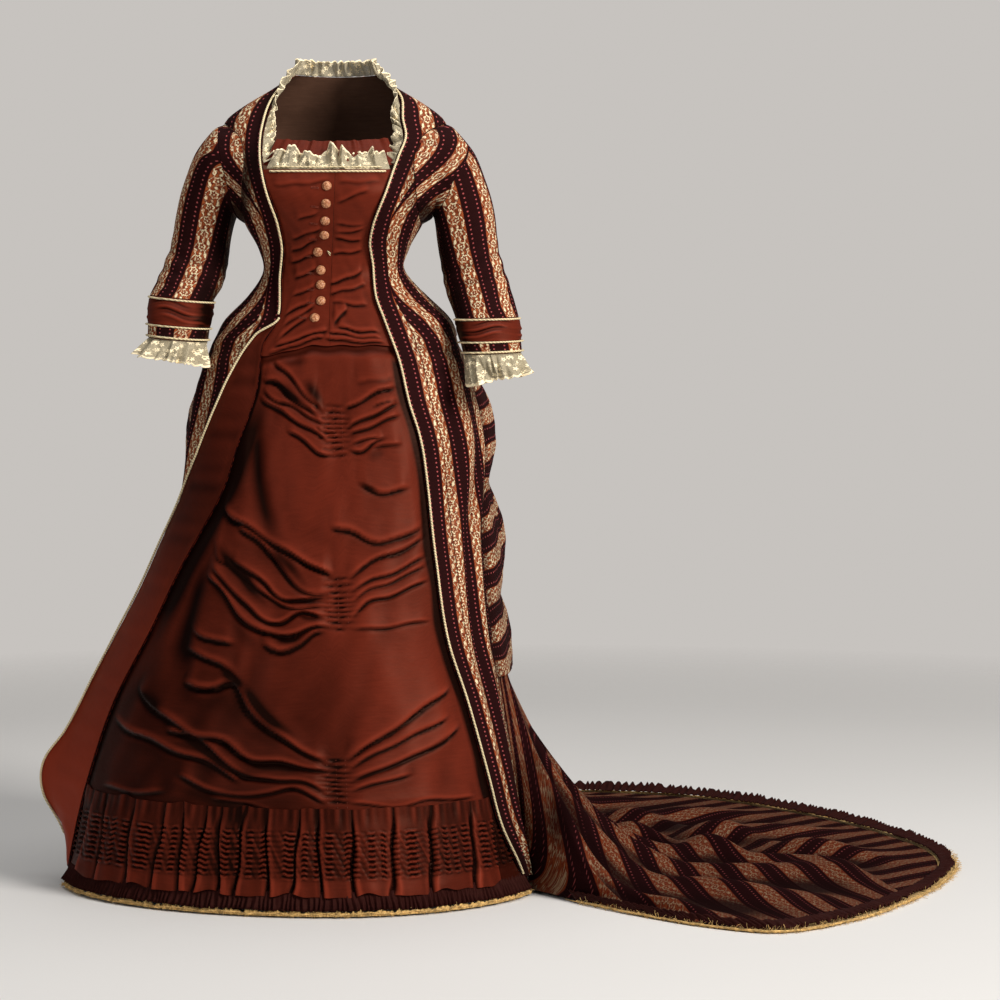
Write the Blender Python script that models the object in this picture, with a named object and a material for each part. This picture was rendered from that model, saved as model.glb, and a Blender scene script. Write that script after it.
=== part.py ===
"""Victorian day dress: each cut and sewn piece as its own thin closed wall.

The garment stands as if worn and is empty inside. Lengths are metres. The
tables give heights above the floor; the origin is the neck point between the
shoulders, RISE above the floor. The front faces -Y and the wearer's left is +X.
"""
import math

import bpy
import numpy as np

RISE = 1.345            # neck point above the floor
CLOTH = 0.0020          # wall of the cloth panels
FINE = 0.0016           # wall of lace and narrow trims
SEAM = 0.0006           # half the gap between two panels along a seam
OVER = 0.0040           # outer face of the overdress above the body form
CORD = 0.0018           # half the width of the piping cord
BUTTON = 0.0078         # half the width of a button

# The worn form: one level section a row, angles measured from the front (-Y).
# height, right half width, left half width, front, back, centre y, squareness
FORM = (
    (0.000, 0.455, 0.345, 0.335, 0.420, 0.000, 2.00),
    (0.200, 0.412, 0.310, 0.303, 0.380, 0.000, 2.00),
    (0.400, 0.348, 0.277, 0.264, 0.345, 0.000, 2.05),
    (0.550, 0.289, 0.262, 0.234, 0.330, 0.000, 2.10),
    (0.650, 0.252, 0.250, 0.210, 0.315, 0.000, 2.10),
    (0.750, 0.237, 0.244, 0.186, 0.300, 0.000, 2.15),
    (0.850, 0.219, 0.221, 0.160, 0.270, 0.000, 2.20),
    (0.900, 0.199, 0.203, 0.146, 0.240, 0.000, 2.20),
    (0.940, 0.178, 0.190, 0.131, 0.195, 0.000, 2.20),
    (0.980, 0.139, 0.150, 0.112, 0.140, 0.000, 2.20),
    (1.025, 0.113, 0.112, 0.098, 0.094, 0.000, 2.20),
    (1.060, 0.121, 0.120, 0.103, 0.088, 0.000, 2.20),
    (1.100, 0.142, 0.142, 0.122, 0.095, 0.000, 2.30),
    (1.150, 0.160, 0.160, 0.136, 0.104, 0.000, 2.40),
    (1.200, 0.172, 0.172, 0.120, 0.110, 0.008, 2.40),
    (1.240, 0.181, 0.181, 0.095, 0.098, 0.016, 2.30),
    (1.270, 0.178, 0.178, 0.074, 0.082, 0.022, 2.20),
    (1.295, 0.146, 0.146, 0.062, 0.068, 0.026, 2.10),
    (1.320, 0.104, 0.104, 0.052, 0.058, 0.030, 2.10),
    (1.345, 0.066, 0.066, 0.046, 0.050, 0.032, 2.10),
)
# Front edge of the right overdress, then the fold of its revers: height, degrees
EDGE_RIGHT = (
    (0.000, 80.0), (0.120, 79.0), (0.200, 77.0), (0.300, 74.0), (0.434, 64.2), (0.539, 57.7),
    (0.600, 52.2), (0.682, 44.5), (0.745, 41.2), (0.795, 37.8), (0.833, 36.2), (0.871, 37.2),
    (0.905, 38.0), (0.950, 32.5), (0.979, 36.5), (1.018, 43.0), (1.068, 37.5), (1.090, 34.5),
    (1.143, 34.0), (1.200, 45.2), (1.239, 53.2), (1.289, 63.2), (1.334, 72.0), (1.345, 75.0),
)
# Front edge of the left overdress: height, degrees
EDGE_LEFT = (
    (0.000, 71.0), (0.039, 68.8), (0.120, 61.5), (0.206, 58.2), (0.330, 53.0), (0.425, 47.5),
    (0.560, 45.5), (0.679, 46.0), (0.761, 45.0), (0.809, 42.8), (0.878, 41.5), (0.951, 37.8),
    (0.979, 37.2), (1.029, 40.0), (1.085, 33.0), (1.131, 33.8), (1.209, 49.2), (1.239, 57.5),
    (1.268, 61.8), (1.325, 77.2), (1.345, 80.0),
)
# Outer edge of the revers: height, degrees, standing off the form
REVERS_EDGE = (
    (0.030, 86.0, 0.014), (0.120, 88.0, 0.066), (0.180, 89.0, 0.078), (0.235, 88.0, 0.056),
    (0.333, 86.0, 0.036), (0.408, 84.0, 0.024), (0.475, 82.0, 0.016), (0.583, 78.0, 0.011),
    (0.672, 70.0, 0.010), (0.728, 62.8, 0.009), (0.760, 59.8, 0.009), (0.809, 55.2, 0.009),
    (0.861, 50.8, 0.009), (0.899, 46.5, 0.009), (0.926, 41.5, 0.009), (0.946, 36.0, 0.009),
)
# Side seams: height, degrees on the right, degrees on the left
SIDE = (
    (0.000, 84.0, 75.5), (0.100, 85.0, 76.0), (0.200, 86.5, 76.5), (0.320, 88.5, 76.0),
    (0.420, 90.0, 74.5), (0.520, 90.0, 73.5), (0.600, 90.0, 76.0), (0.660, 90.0, 83.0),
    (0.730, 90.0, 90.0), (0.900, 90.0, 90.0), (1.345, 90.0, 90.0),
)
# Closing line of the vest: height, degrees
CLOSE = ((0.900, 3.5), (0.978, 2.8), (1.084, 5.5), (1.186, 7.0), (1.200, 7.0))
# Buttons: height, degrees, base above the form
BUTTONS = (
    (1.163, 1.5, 0.0006), (1.135, 1.0, 0.0004), (1.107, -0.2, 0.0003),
    (1.084, -1.5, 0.0006), (1.056, -8.5, 0.0007), (1.026, -6.2, 0.0015),
    (1.002, -5.8, 0.0007), (0.976, -4.5, 0.0007), (0.949, -8.0, 0.0000),
)
# Apron folds: start degrees and height, end degrees and height, depth, half width
FOLDS = (
    (0, 0.801, -32, 0.888, 0.0050, 0.010), (1, 0.772, -36, 0.835, 0.0060, 0.012),
    (2, 0.726, -19, 0.772, 0.0050, 0.012), (10, 0.799, 38, 0.839, 0.0050, 0.010),
    (12, 0.761, 41, 0.797, 0.0060, 0.012), (14, 0.738, 40, 0.753, 0.0050, 0.012),
    (0, 0.509, -42, 0.640, 0.0080, 0.014), (-6, 0.505, -45, 0.575, 0.0080, 0.014),
    (1, 0.455, -45, 0.530, 0.0070, 0.014), (-6, 0.420, -48, 0.427, 0.0060, 0.018),
    (10, 0.541, 43, 0.613, 0.0070, 0.014), (16, 0.520, 43, 0.569, 0.0070, 0.014),
    (12, 0.455, 43, 0.468, 0.0060, 0.016), (4, 0.211, -48, 0.291, 0.0070, 0.013),
    (4, 0.247, -19, 0.302, 0.0060, 0.013), (-26, 0.266, -70, 0.323, 0.0060, 0.016),
    (10, 0.254, 43, 0.325, 0.0060, 0.013), (13, 0.220, 50, 0.281, 0.0060, 0.013),
    (-28, 0.417, -9, 0.341, 0.0050, 0.018), (12, 0.357, 46, 0.349, 0.0050, 0.020),
)
# Arms: inner x and height, outer x and height, middle y, half depth
ARM_RIGHT = (
    (0.160, 1.108, 0.199, 1.252, 0.008, 0.066), (0.163, 1.113, 0.225, 1.210, 0.010, 0.060),
    (0.167, 1.100, 0.242, 1.160, 0.010, 0.056), (0.173, 1.070, 0.257, 1.112, 0.008, 0.054),
    (0.178, 1.035, 0.272, 1.062, 0.000, 0.052), (0.185, 1.000, 0.292, 1.012, -0.022, 0.052),
    (0.196, 0.975, 0.301, 0.985, -0.042, 0.050),
)
ARM_LEFT = (
    (0.160, 1.108, 0.199, 1.252, 0.008, 0.066), (0.163, 1.113, 0.226, 1.208, 0.010, 0.060),
    (0.166, 1.100, 0.243, 1.160, 0.010, 0.056), (0.171, 1.070, 0.260, 1.112, 0.006, 0.054),
    (0.180, 1.030, 0.274, 1.058, -0.004, 0.051), (0.190, 0.990, 0.294, 1.004, -0.026, 0.049),
    (0.206, 0.948, 0.310, 0.950, -0.054, 0.046),
)
CUFF_RIGHT = (
    (0.1958, 0.9742, 0.3012, 0.9842, -0.0426, 0.0501), (0.198, 0.942, 0.301, 0.950, -0.064, 0.049),
    (0.200, 0.908, 0.299, 0.916, -0.084, 0.047),
)
CUFF_LEFT = (
    (0.2058, 0.9472, 0.3102, 0.9492, -0.0545, 0.0461), (0.213, 0.920, 0.314, 0.922, -0.071, 0.046),
    (0.222, 0.889, 0.318, 0.893, -0.090, 0.045),
)
LACE_RIGHT = (
    (0.2005, 0.9072, 0.2985, 0.9152, -0.0845, 0.0464), (0.199, 0.878, 0.310, 0.896, -0.100, 0.050),
    (0.200, 0.858, 0.320, 0.880, -0.112, 0.052),
)
LACE_LEFT = (
    (0.2225, 0.8882, 0.3175, 0.8922, -0.0905, 0.0444), (0.231, 0.850, 0.328, 0.868, -0.106, 0.048),
    (0.241, 0.826, 0.337, 0.850, -0.118, 0.052),
)
# Outline of the train on the floor, from the left front hem round to the right: x, y
OUTLINE = (
    (0.346, -0.086), (0.372, -0.128), (0.430, -0.198), (0.520, -0.288), (0.617, -0.368),
    (0.727, -0.416), (0.854, -0.308), (0.940, -0.150), (1.006, 0.031), (1.036, 0.190),
    (1.026, 0.330), (0.962, 0.500), (0.790, 0.760), (0.595, 0.935), (0.381, 0.995),
    (0.120, 0.930), (-0.080, 0.780), (-0.250, 0.550), (-0.370, 0.305), (-0.438, 0.110),
)
TRAIN_TOP = 0.395       # height where the train starts under the drape
EDGE_TOP = 0.0050       # top face of the train at its edge
TRAIN_RUFFLE = 0.026

RUST = (0.150, 0.032, 0.018)
PLUM = (0.045, 0.006, 0.010)
STRIPE = (0.260, 0.075, 0.035)
CREAM = (0.760, 0.640, 0.420)
GOLD = (0.560, 0.340, 0.110)
COPPER = (0.330, 0.110, 0.045)


def curve(rows, x, column=1):
    """Smooth value of one table column at x; the first column rises."""
    table = np.array(rows, float)
    xs = table[:, 0]
    ys = table[:, column]
    slope = np.gradient(ys, xs)
    x = np.clip(np.asarray(x, float), xs[0], xs[-1])
    i = np.clip(np.searchsorted(xs, x, side="right") - 1, 0, len(xs) - 2)
    h = xs[i + 1] - xs[i]
    t = (x - xs[i]) / h
    low = (2 * t ** 3 - 3 * t ** 2 + 1) * ys[i] + (t ** 3 - 2 * t ** 2 + t) * h * slope[i]
    high = (3 * t ** 2 - 2 * t ** 3) * ys[i + 1] + (t ** 3 - t ** 2) * h * slope[i + 1]
    return low + high


def ease(x, low, high):
    """Smooth step from 0 at low to 1 at high."""
    t = np.clip((np.asarray(x, float) - low) / (high - low), 0.0, 1.0)
    return t * t * (3.0 - 2.0 * t)


def section(degrees, height):
    """Point of the worn form, without any offset."""
    angle = np.radians(np.asarray(degrees, float))
    height = np.asarray(height, float) + 0.0 * angle
    side = np.where(np.sin(angle) < 0.0, curve(FORM, height, 1), curve(FORM, height, 2))
    deep = np.where(np.cos(angle) > 0.0, curve(FORM, height, 3), curve(FORM, height, 4))
    power = curve(FORM, height, 6)
    across = (np.abs(np.sin(angle)) / side) ** power
    along = (np.abs(np.cos(angle)) / deep) ** power
    radius = (across + along) ** (-1.0 / power)
    turn = np.degrees(angle)
    bust = np.exp(-((np.abs(turn) - 28.0) / 17.0) ** 2 - ((height - 1.155) / 0.045) ** 2)
    radius = radius + 0.008 * bust
    x = radius * np.sin(angle)
    y = -radius * np.cos(angle) + curve(FORM, height, 5)
    return np.stack([x, y, height], axis=-1)


def unit(vectors):
    return vectors / np.linalg.norm(vectors, axis=-1, keepdims=True)


def form_normal(degrees, height):
    turn = section(np.asarray(degrees) + 0.4, height) - section(np.asarray(degrees) - 0.4, height)
    low = np.clip(np.asarray(height, float) - 0.002, 0.0, 1.343)
    rise = section(degrees, low + 0.002) - section(degrees, low)
    return unit(np.cross(turn, rise))


def body(degrees, height, out=0.0):
    """Point standing off the form by out."""
    out = np.asarray(out, float)[..., None]
    return section(degrees, height) + form_normal(degrees, height) * out


def grid_normal(grid, closed=False):
    """Normals of a grid of points, rows down and columns round."""
    if closed:
        across = np.roll(grid, -1, axis=1) - np.roll(grid, 1, axis=1)
    else:
        across = np.gradient(grid, axis=1)
    down = np.gradient(grid, axis=0)
    return unit(np.cross(across, down))


def material(name, colour, roughness):
    look = bpy.data.materials.new(name)
    look.use_nodes = True
    shader = look.node_tree.nodes["Principled BSDF"]
    shader.inputs["Base Color"].default_value = (*colour, 1.0)
    shader.inputs["Roughness"].default_value = roughness
    shader.inputs["Metallic"].default_value = 0.0
    return look


def solid(name, points, faces, colour, roughness=0.6):
    """Mesh object from points above the floor, faced outwards."""
    points = np.array(points, float)
    corner = points[np.array(faces)]
    volume = np.einsum("ij,ij->i", corner[:, 0], np.cross(corner[:, 1], corner[:, 2])).sum()
    if volume < 0.0:
        faces = [tuple(reversed(face)) for face in faces]
    points = points - np.array([0.0, 0.0, RISE])
    mesh = bpy.data.meshes.new(name)
    mesh.from_pydata(points.tolist(), [], faces)
    mesh.materials.append(material(name + "_look", colour, roughness))
    for polygon in mesh.polygons:
        polygon.use_smooth = True
    mesh.update()
    item = bpy.data.objects.new(name, mesh)
    bpy.context.scene.collection.objects.link(item)
    return item


def shell(name, outer, inner, colour, closed=False, roughness=0.6):
    """Closed wall between two grids of the same shape, rims included."""
    rows, columns = outer.shape[:2]
    size = rows * columns
    points = np.concatenate([outer.reshape(-1, 3), inner.reshape(-1, 3)])
    faces = []
    wrap = columns if closed else columns - 1
    for i in range(rows - 1):
        for j in range(wrap):
            k = (j + 1) % columns
            a, b = i * columns + j, i * columns + k
            d, c = a + columns, b + columns
            faces += [(a, b, c), (a, c, d)]
            faces += [(a + size, c + size, b + size), (a + size, d + size, c + size)]
    for i, sign in ((0, 1), (rows - 1, -1)):
        for j in range(wrap):
            k = (j + 1) % columns
            a, b = i * columns + j, i * columns + k
            rim = [(a, a + size, b + size), (a, b + size, b)]
            faces += rim if sign > 0 else [tuple(reversed(face)) for face in rim]
    if not closed:
        for j, sign in ((0, -1), (columns - 1, 1)):
            for i in range(rows - 1):
                a, b = i * columns + j, (i + 1) * columns + j
                rim = [(a, a + size, b + size), (a, b + size, b)]
                faces += rim if sign > 0 else [tuple(reversed(face)) for face in rim]
    return solid(name, points, faces, colour, roughness)


def sheet(name, outer, wall, colour, closed=False, inward=None, roughness=0.6):
    """Wall of even thickness behind a grid; inward fixes which side is behind."""
    normal = grid_normal(outer, closed)
    if inward is not None and np.sum(normal * inward) > 0.0:
        normal = -normal
    return shell(name, outer, outer - normal * wall, colour, closed, roughness)


def panel(name, heights, low, high, columns, out, colour, wall=CLOTH, bias=None):
    """Piece on the form between two edge angles, one row a height."""
    heights = np.asarray(heights, float)
    share = np.linspace(0.0, 1.0, columns) if bias is None else np.asarray(bias, float)
    low = np.asarray(low, float) + 0.0 * heights
    high = np.asarray(high, float) + 0.0 * heights
    turn = low[:, None] + (high - low)[:, None] * share[None, :]
    level = np.repeat(heights[:, None], len(share), axis=1)
    grid = body(turn, level, out(turn, level))
    toward = -form_normal(turn, level)
    return sheet(name, grid, wall, colour, inward=toward), turn, level


def turn_for(width, degrees, height):
    """Degrees that a width takes up on the form at this place."""
    step = section(np.asarray(degrees) + 0.5, height) - section(np.asarray(degrees) - 0.5, height)
    return width / np.linalg.norm(step, axis=-1)


def armhole(height):
    """Half width of the armhole in degrees at a height."""
    middle, tall, wide = 1.183, 0.082, 32.0
    inside = np.clip(1.0 - ((np.asarray(height, float) - middle) / tall) ** 2, 0.0, 1.0)
    return wide * np.sqrt(inside)


def bodice_rows(lowest, low_count):
    """Heights from the lowest row to the shoulder, closer round the armhole."""
    below = np.linspace(lowest, 1.101, low_count)[:-1]
    swing = np.linspace(-math.pi / 2.0, math.pi / 2.0, 9)
    beside = 1.183 + 0.082 * np.sin(swing)
    above = np.array([1.282, 1.300, 1.322, 1.344])
    return np.concatenate([below, beside, above])


def fold_relief(turn, level):
    """Soft ridges of the apron along the lines of the table."""
    total = np.zeros_like(turn)
    for from_turn, from_level, to_turn, to_level, depth, half in FOLDS:
        radius = 0.0042
        ax, ay = from_turn * radius, from_level
        bx, by = to_turn * radius, to_level
        long = math.hypot(bx - ax, by - ay)
        dx, dy = (bx - ax) / long, (by - ay) / long
        px, py = turn * radius - ax, level - ay
        along = (px * dx + py * dy) / long
        aside = -px * dy + py * dx + 0.12 * long * along * (1.0 - along) * math.copysign(1, dx)
        fade = ease(along, -0.05, 0.12) * (1.0 - ease(along, 0.80, 1.08))
        total = total + depth * fade * np.exp(-(aside / half) ** 2)
    return total


def over(turn, level):
    return OVER + 0.0 * turn


def vest_and_fronts():
    rows = np.linspace(0.905, 1.190, 12)
    close = curve(CLOSE, rows)
    gap = turn_for(SEAM, close, rows)
    tuck_right = -curve(EDGE_RIGHT, rows) - turn_for(0.008, -38.0, rows)
    tuck_left = curve(EDGE_LEFT, rows) + turn_for(0.008, 38.0, rows)
    flat = lambda turn, level: 0.0 * turn
    panel("vest_right", rows, tuck_right, close - gap, 7, flat, RUST)
    panel("vest_left", rows, close + gap, tuck_left, 6, flat, RUST)
    rows = np.concatenate([np.linspace(0.030, 0.880, 15), bodice_rows(0.920, 8)])
    left = curve(SIDE, rows, 2) - armhole(rows)
    right = curve(SIDE, rows, 1) - armhole(rows)
    gap = turn_for(SEAM, right, rows)
    share = [0.0, 0.07, 0.25, 0.45, 0.65, 0.84, 1.0]
    panel("front_left", rows, curve(EDGE_LEFT, rows), left - gap, 7, over, STRIPE, bias=share)
    share = [0.0, 0.16, 0.35, 0.55, 0.75, 0.93, 1.0]
    front = -curve(EDGE_RIGHT, rows)
    panel("front_right", rows, -right + gap, front, 7, over, STRIPE, bias=share)


def back_bodice():
    rows = bodice_rows(0.915, 8)
    side = curve(SIDE, rows) + armhole(rows)
    gap = turn_for(SEAM, side, rows)
    panel("bodice_back", rows, side + gap, 360.0 - side - gap, 17, over, STRIPE)


def drape_relief(turn, level):
    """Three stacked puffs with a scalloped lower edge and uneven gathers."""
    centre = 180.0
    fall = level + 0.045 * (1.0 - np.cos(np.radians(turn - centre)))
    part = np.clip((0.900 - fall) / 0.190, 0.0, 2.999)
    inside = part - np.floor(part)
    bulge = np.sin(math.pi * inside ** 1.3) ** 0.8
    gather = 0.5 + 0.5 * np.cos(np.radians(turn * 14.0) + 2.0 * np.floor(part))
    edge = ease(turn, 88.0, 130.0) * (1.0 - ease(turn, 240.0, 270.0))
    top = 1.0 - ease(level, 0.860, 0.9125)
    bulge = bulge * (0.6 + 0.4 * ease(level, 0.355, 0.450))
    puff = (0.022 + 0.010 * edge) * bulge + 0.005 * gather * bulge
    return 0.0012 + top * (0.0056 + puff * (0.20 + 0.80 * edge))


def back_drape():
    rows = np.concatenate([np.linspace(0.355, 0.890, 14), bodice_rows(0.915, 8)[:2]])
    left = curve(SIDE, rows, 2)
    right = 360.0 - curve(SIDE, rows, 1)
    tucked = ease(rows, 0.800, 0.860)
    gap = turn_for(0.0010, left, rows) * tucked - turn_for(0.0040, left, rows) * (1.0 - tucked)
    panel("back_drape", rows, left + gap, right - gap, 17, drape_relief, STRIPE)


def apron():
    rows = np.concatenate([np.linspace(0.042, 0.884, 22), [0.900, 0.924]])
    low = -np.where(rows < 0.32, curve(EDGE_RIGHT, rows) + 2.0, curve(EDGE_RIGHT, rows) + 2.5)
    high = curve(EDGE_LEFT, rows) + 2.2

    def relief(turn, level):
        share = (turn - low[:, None]) / (high - low)[:, None]
        edge = ease(share, 0.05, 0.16) * (1.0 - ease(share, 0.86, 0.95))
        body_part = ease(level, 0.170, 0.210) * (1.0 - ease(level, 0.880, 0.905))
        under = -0.0054 * ease(level, 0.884, 0.899)
        return 0.0004 + under + edge * body_part * fold_relief(turn, level)

    panel("apron", rows, low, high, 23, relief, RUST)


def pleats(turn, count, low, high):
    """Box-pleat wave from 0 to 1, count waves between two angles."""
    phase = (turn - low) / (high - low) * count * 2.0 * math.pi
    return np.clip(0.5 + 0.75 * np.cos(phase), 0.0, 1.0)


def flounce():
    rows = np.array([0.0295, 0.062, 0.108, 0.166])
    low = -(curve(EDGE_RIGHT, rows) - 0.6)
    high = curve(EDGE_LEFT, rows) - 0.9
    count = 14

    def relief(turn, level):
        share = (turn - low[:, None]) / (high - low)[:, None]
        wave = pleats(share, count, 0.0, 1.0)
        loose = 1.0 - ease(level, 0.050, 0.100)
        return 0.0029 + wave * (0.0030 + 0.0020 * loose)

    panel("flounce", rows, low, high, count * 4 + 1, relief, RUST)
    rows = np.array([0.0050, 0.0287])
    count = 44

    def ruffle(turn, level):
        share = (turn - low[0]) / (72.0 - low[0])
        wave = 0.5 + 0.5 * np.cos(share * count * 2.0 * math.pi)
        return 0.0028 + wave * (0.0030 + 0.0035 * (1.0 - ease(level, 0.005, 0.0287)))

    panel("hem_ruffle", rows, low[0], 72.0, count * 2 + 1, ruffle, PLUM, FINE)

    def lace(turn, level):
        return -0.0002 + 0.0008 * np.cos(np.radians(turn * 11.0))

    panel("hem_lace", np.array([0.0005, 0.0287]), low[0], 72.0, 31, lace, GOLD, FINE)


def revers():
    rows = np.array([0.034, 0.075, 0.120, 0.155, 0.190, 0.235, 0.285, 0.333, 0.385, 0.440,
                     0.500, 0.560, 0.620, 0.672, 0.728, 0.775, 0.820, 0.861, 0.899, 0.928])
    fold = -curve(EDGE_RIGHT, rows)
    edge = -curve(REVERS_EDGE, rows, 1)
    stand = curve(REVERS_EDGE, rows, 2)
    share = np.linspace(0.0, 1.0, 5)
    turn = edge[:, None] + (fold - edge)[:, None] * share[None, :]
    level = np.repeat(rows[:, None], 5, axis=1)
    out = stand[:, None] + (0.0070 - stand)[:, None] * share[None, :] ** 0.7
    drop = 0.045 * (1.0 - ease(level, 0.030, 0.170)) * (1.0 - share[None, :])
    grid = body(turn, level + drop, out)
    toward = -form_normal(turn, level)
    sheet("revers", grid, CLOTH, RUST, inward=toward)
    return grid


def loop_point(sign, swing, out):
    """Point of the armhole ring; swing 0 is the front and 90 the top."""
    angle = np.radians(swing)
    level = 1.183 + 0.0811 * np.sin(angle)
    turn = 90.0 - 31.55 * np.cos(angle)
    return body(sign * turn, level, out + 0.0 * turn)


def ring(row, sign, swing, grow=0.0, wave=0.0):
    """Oval ring between an inner and an outer point of the arm."""
    in_x, in_z, out_x, out_z, y, half = row
    angle = np.radians(swing)
    reach = np.sin(angle)
    middle = np.array([(in_x + out_x) / 2.0, y, (in_z + out_z) / 2.0])
    arm = np.array([(out_x - in_x) / 2.0, 0.0, (out_z - in_z) / 2.0])
    scale = 1.0 + grow / np.linalg.norm(arm) + wave / np.linalg.norm(arm)
    points = middle + np.outer(reach * scale, arm)
    points[:, 1] -= np.cos(angle) * (half + grow + wave)
    points[:, 0] *= sign
    return points


def tube(name, rows, sign, columns, wall, colour, first=None, wave=None, roughness=0.6):
    swing = np.arange(columns) * 360.0 / columns
    rings = []
    if first is not None:
        rings.append(first(swing))
    for index, row in enumerate(rows):
        extra = 0.0 if wave is None else wave(index, swing)
        rings.append(ring(row, sign, swing, 0.0, extra))
    outer = np.array(rings)
    middle = outer.mean(axis=1, keepdims=True)
    return sheet(name, outer, wall, colour, True, middle - outer, roughness), outer


def arms():
    sets = (
        ("right", -1.0, ARM_RIGHT, CUFF_RIGHT, LACE_RIGHT),
        ("left", 1.0, ARM_LEFT, CUFF_LEFT, LACE_LEFT),
    )
    for side, sign, arm, cuff, lace in sets:
        start = lambda swing, s=sign: loop_point(s, swing, 0.0042)
        tube("sleeve_" + side, arm, sign, 16, CLOTH, STRIPE, first=start)
        puff = lambda i, swing: 0.0015 * (i == 1) * np.sin(np.radians(swing) * 2.0)
        tube("cuff_" + side, cuff, sign, 16, CLOTH, RUST, wave=puff)
        frill = lambda i, swing: 0.0032 * i * np.cos(np.radians(swing) * 10.0) - 0.0006
        tube("cuff_lace_" + side, lace, sign, 30, FINE, CREAM, wave=frill)
        for index, end in ((0, "top"), (2, "low")):
            row = 0.91 * np.array(cuff[index]) + 0.09 * np.array(cuff[1])
            swing = np.arange(16) * 22.5
            path = ring(row, sign, swing, CORD + 0.0006)
            cord("piping_cuff_" + side + "_" + end, path, None, CREAM, True)


def cord(name, path, normal, colour, closed=False, half=CORD):
    """Square-sided cord along a path."""
    count = len(path)
    if closed:
        run = unit(np.roll(path, -1, axis=0) - np.roll(path, 1, axis=0))
        normal = unit(path - path.mean(axis=0))
    else:
        run = unit(np.gradient(path, axis=0))
    side = unit(np.cross(run, normal))
    normal = unit(np.cross(side, run))
    corners = ((1, 0), (0, 1), (-1, 0), (0, -1))
    points = []
    for a, b in corners:
        points.append(path + side * (a * half) + normal * (b * half))
    points = np.stack(points, axis=1).reshape(-1, 3)
    faces = []
    for i in range(count if closed else count - 1):
        j = (i + 1) % count
        for a in range(4):
            b = (a + 1) % 4
            faces += [(4 * i + a, 4 * i + b, 4 * j + b), (4 * i + a, 4 * j + b, 4 * j + a)]
    if not closed:
        last = 4 * (count - 1)
        faces += [(0, 2, 1), (0, 3, 2)]
        faces += [(last, last + 1, last + 2), (last, last + 2, last + 3)]
    return solid(name, points, faces, colour)


def pipings(revers_grid):
    rows = np.linspace(0.965, 1.332, 18)
    stand = OVER + CORD + 0.0019
    turn = -curve(EDGE_RIGHT, rows) - turn_for(0.0022, -40.0, rows)
    cord("piping_front_right", body(turn, rows, stand), form_normal(turn, rows), CREAM)
    rows = np.concatenate([np.linspace(0.036, 0.880, 16), np.linspace(0.905, 1.332, 20)])
    turn = curve(EDGE_LEFT, rows) + turn_for(0.0022, 40.0, rows)
    cord("piping_front_left", body(turn, rows, stand), form_normal(turn, rows), CREAM)
    line = revers_grid[:, 0] * 0.93 + revers_grid[:, 1] * 0.07
    normal = grid_normal(revers_grid)[:, 0]
    if np.sum(normal * (line - np.array([0.0, 0.0, 0.5]))) < 0.0:
        normal = -normal
    cord("piping_revers", line + normal * (CORD + 0.0012), normal, CREAM)
    turn = np.linspace(-38.0, 40.0, 16)
    level = np.full(16, 1.1860)
    path = body(turn, level, CORD + 0.0008)
    cord("piping_neckline", path, form_normal(turn, level), CREAM)


def ribbon(name, base, tip, out, wave, columns, rows, colour, wall=FINE):
    """Strip from a base line to a tip line, waving along the out vectors."""
    share = np.linspace(0.0, 1.0, rows)[:, None, None]
    grid = base[None] * (1.0 - share) + tip[None] * share
    grid = grid + out[None] * (wave[None, :, None] * (0.35 + 0.65 * share))
    return sheet(name, grid, wall, colour, inward=-np.repeat(out[None], rows, axis=0))


def neck():
    turn = np.linspace(-41.0, 44.0, 37)
    lean = np.full(37, 1.1907)
    normal = form_normal(turn, lean)
    base = body(turn, lean, -0.0002)
    tip = body(turn, lean + 0.036, 0.0035)
    wave = 0.0024 * np.cos(np.linspace(0.0, 18.0 * math.pi, 37))
    ribbon("neck_lace_front", base, tip, normal, wave, 37, 2, CREAM)
    turn = np.linspace(-46.0, 50.0, 21)
    base = body(turn, 1.194 + 0.0040 * (turn / 40.0) ** 2, -0.0034)
    tip = body(turn, 1.240 + 0.0030 * (turn / 40.0) ** 2, -0.0050)
    normal = form_normal(turn, 1.22)
    ribbon("neck_strip", base, tip, normal, 0.0 * turn, 21, 2, RUST)
    rows = bodice_rows(0.920, 8)
    rows = rows[rows > 1.245]
    right = body(-curve(EDGE_RIGHT, rows), rows, 0.0034)
    left = body(curve(EDGE_LEFT, rows[::-1]), rows[::-1], 0.0034)
    gap = turn_for(SEAM, 90.0, 1.344)
    around = np.linspace(270.0 - gap, 90.0 + gap, 15)
    path = np.concatenate([right, body(around, 1.344, 0.0034), left])
    count = 61
    step = np.linalg.norm(np.diff(path, axis=0), axis=1)
    run = np.concatenate([[0.0], np.cumsum(step)])
    along = np.linspace(0.0, run[-1], count)
    base = np.stack([np.interp(along, run, path[:, k]) for k in range(3)], axis=-1)
    centre = np.array([0.0, 0.020, 0.0])
    inward = unit((centre - base) * np.array([1.0, 1.0, 0.0]))
    high = np.minimum(ease(along, 0.0, 0.110), ease(run[-1] - along, 0.0, 0.110))
    base = base + inward * 0.0014 + np.array([0.0, 0.0, 0.0008])
    across = (0.014 - 0.009 * high)[:, None] * inward
    rise = (0.003 + 0.024 * high)[:, None] * np.array([0.0, 0.0, 1.0])
    tip = base + across + rise
    side = unit(np.cross(np.gradient(base, axis=0), tip - base))
    side = side * np.sign(np.sum(side * (base - centre), axis=1))[:, None]
    wave = 0.0022 * np.cos(np.linspace(0.0, 30.0 * math.pi, count)) - 0.0010
    ribbon("neck_lace", base, tip, side, wave, count, 2, CREAM)


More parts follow.
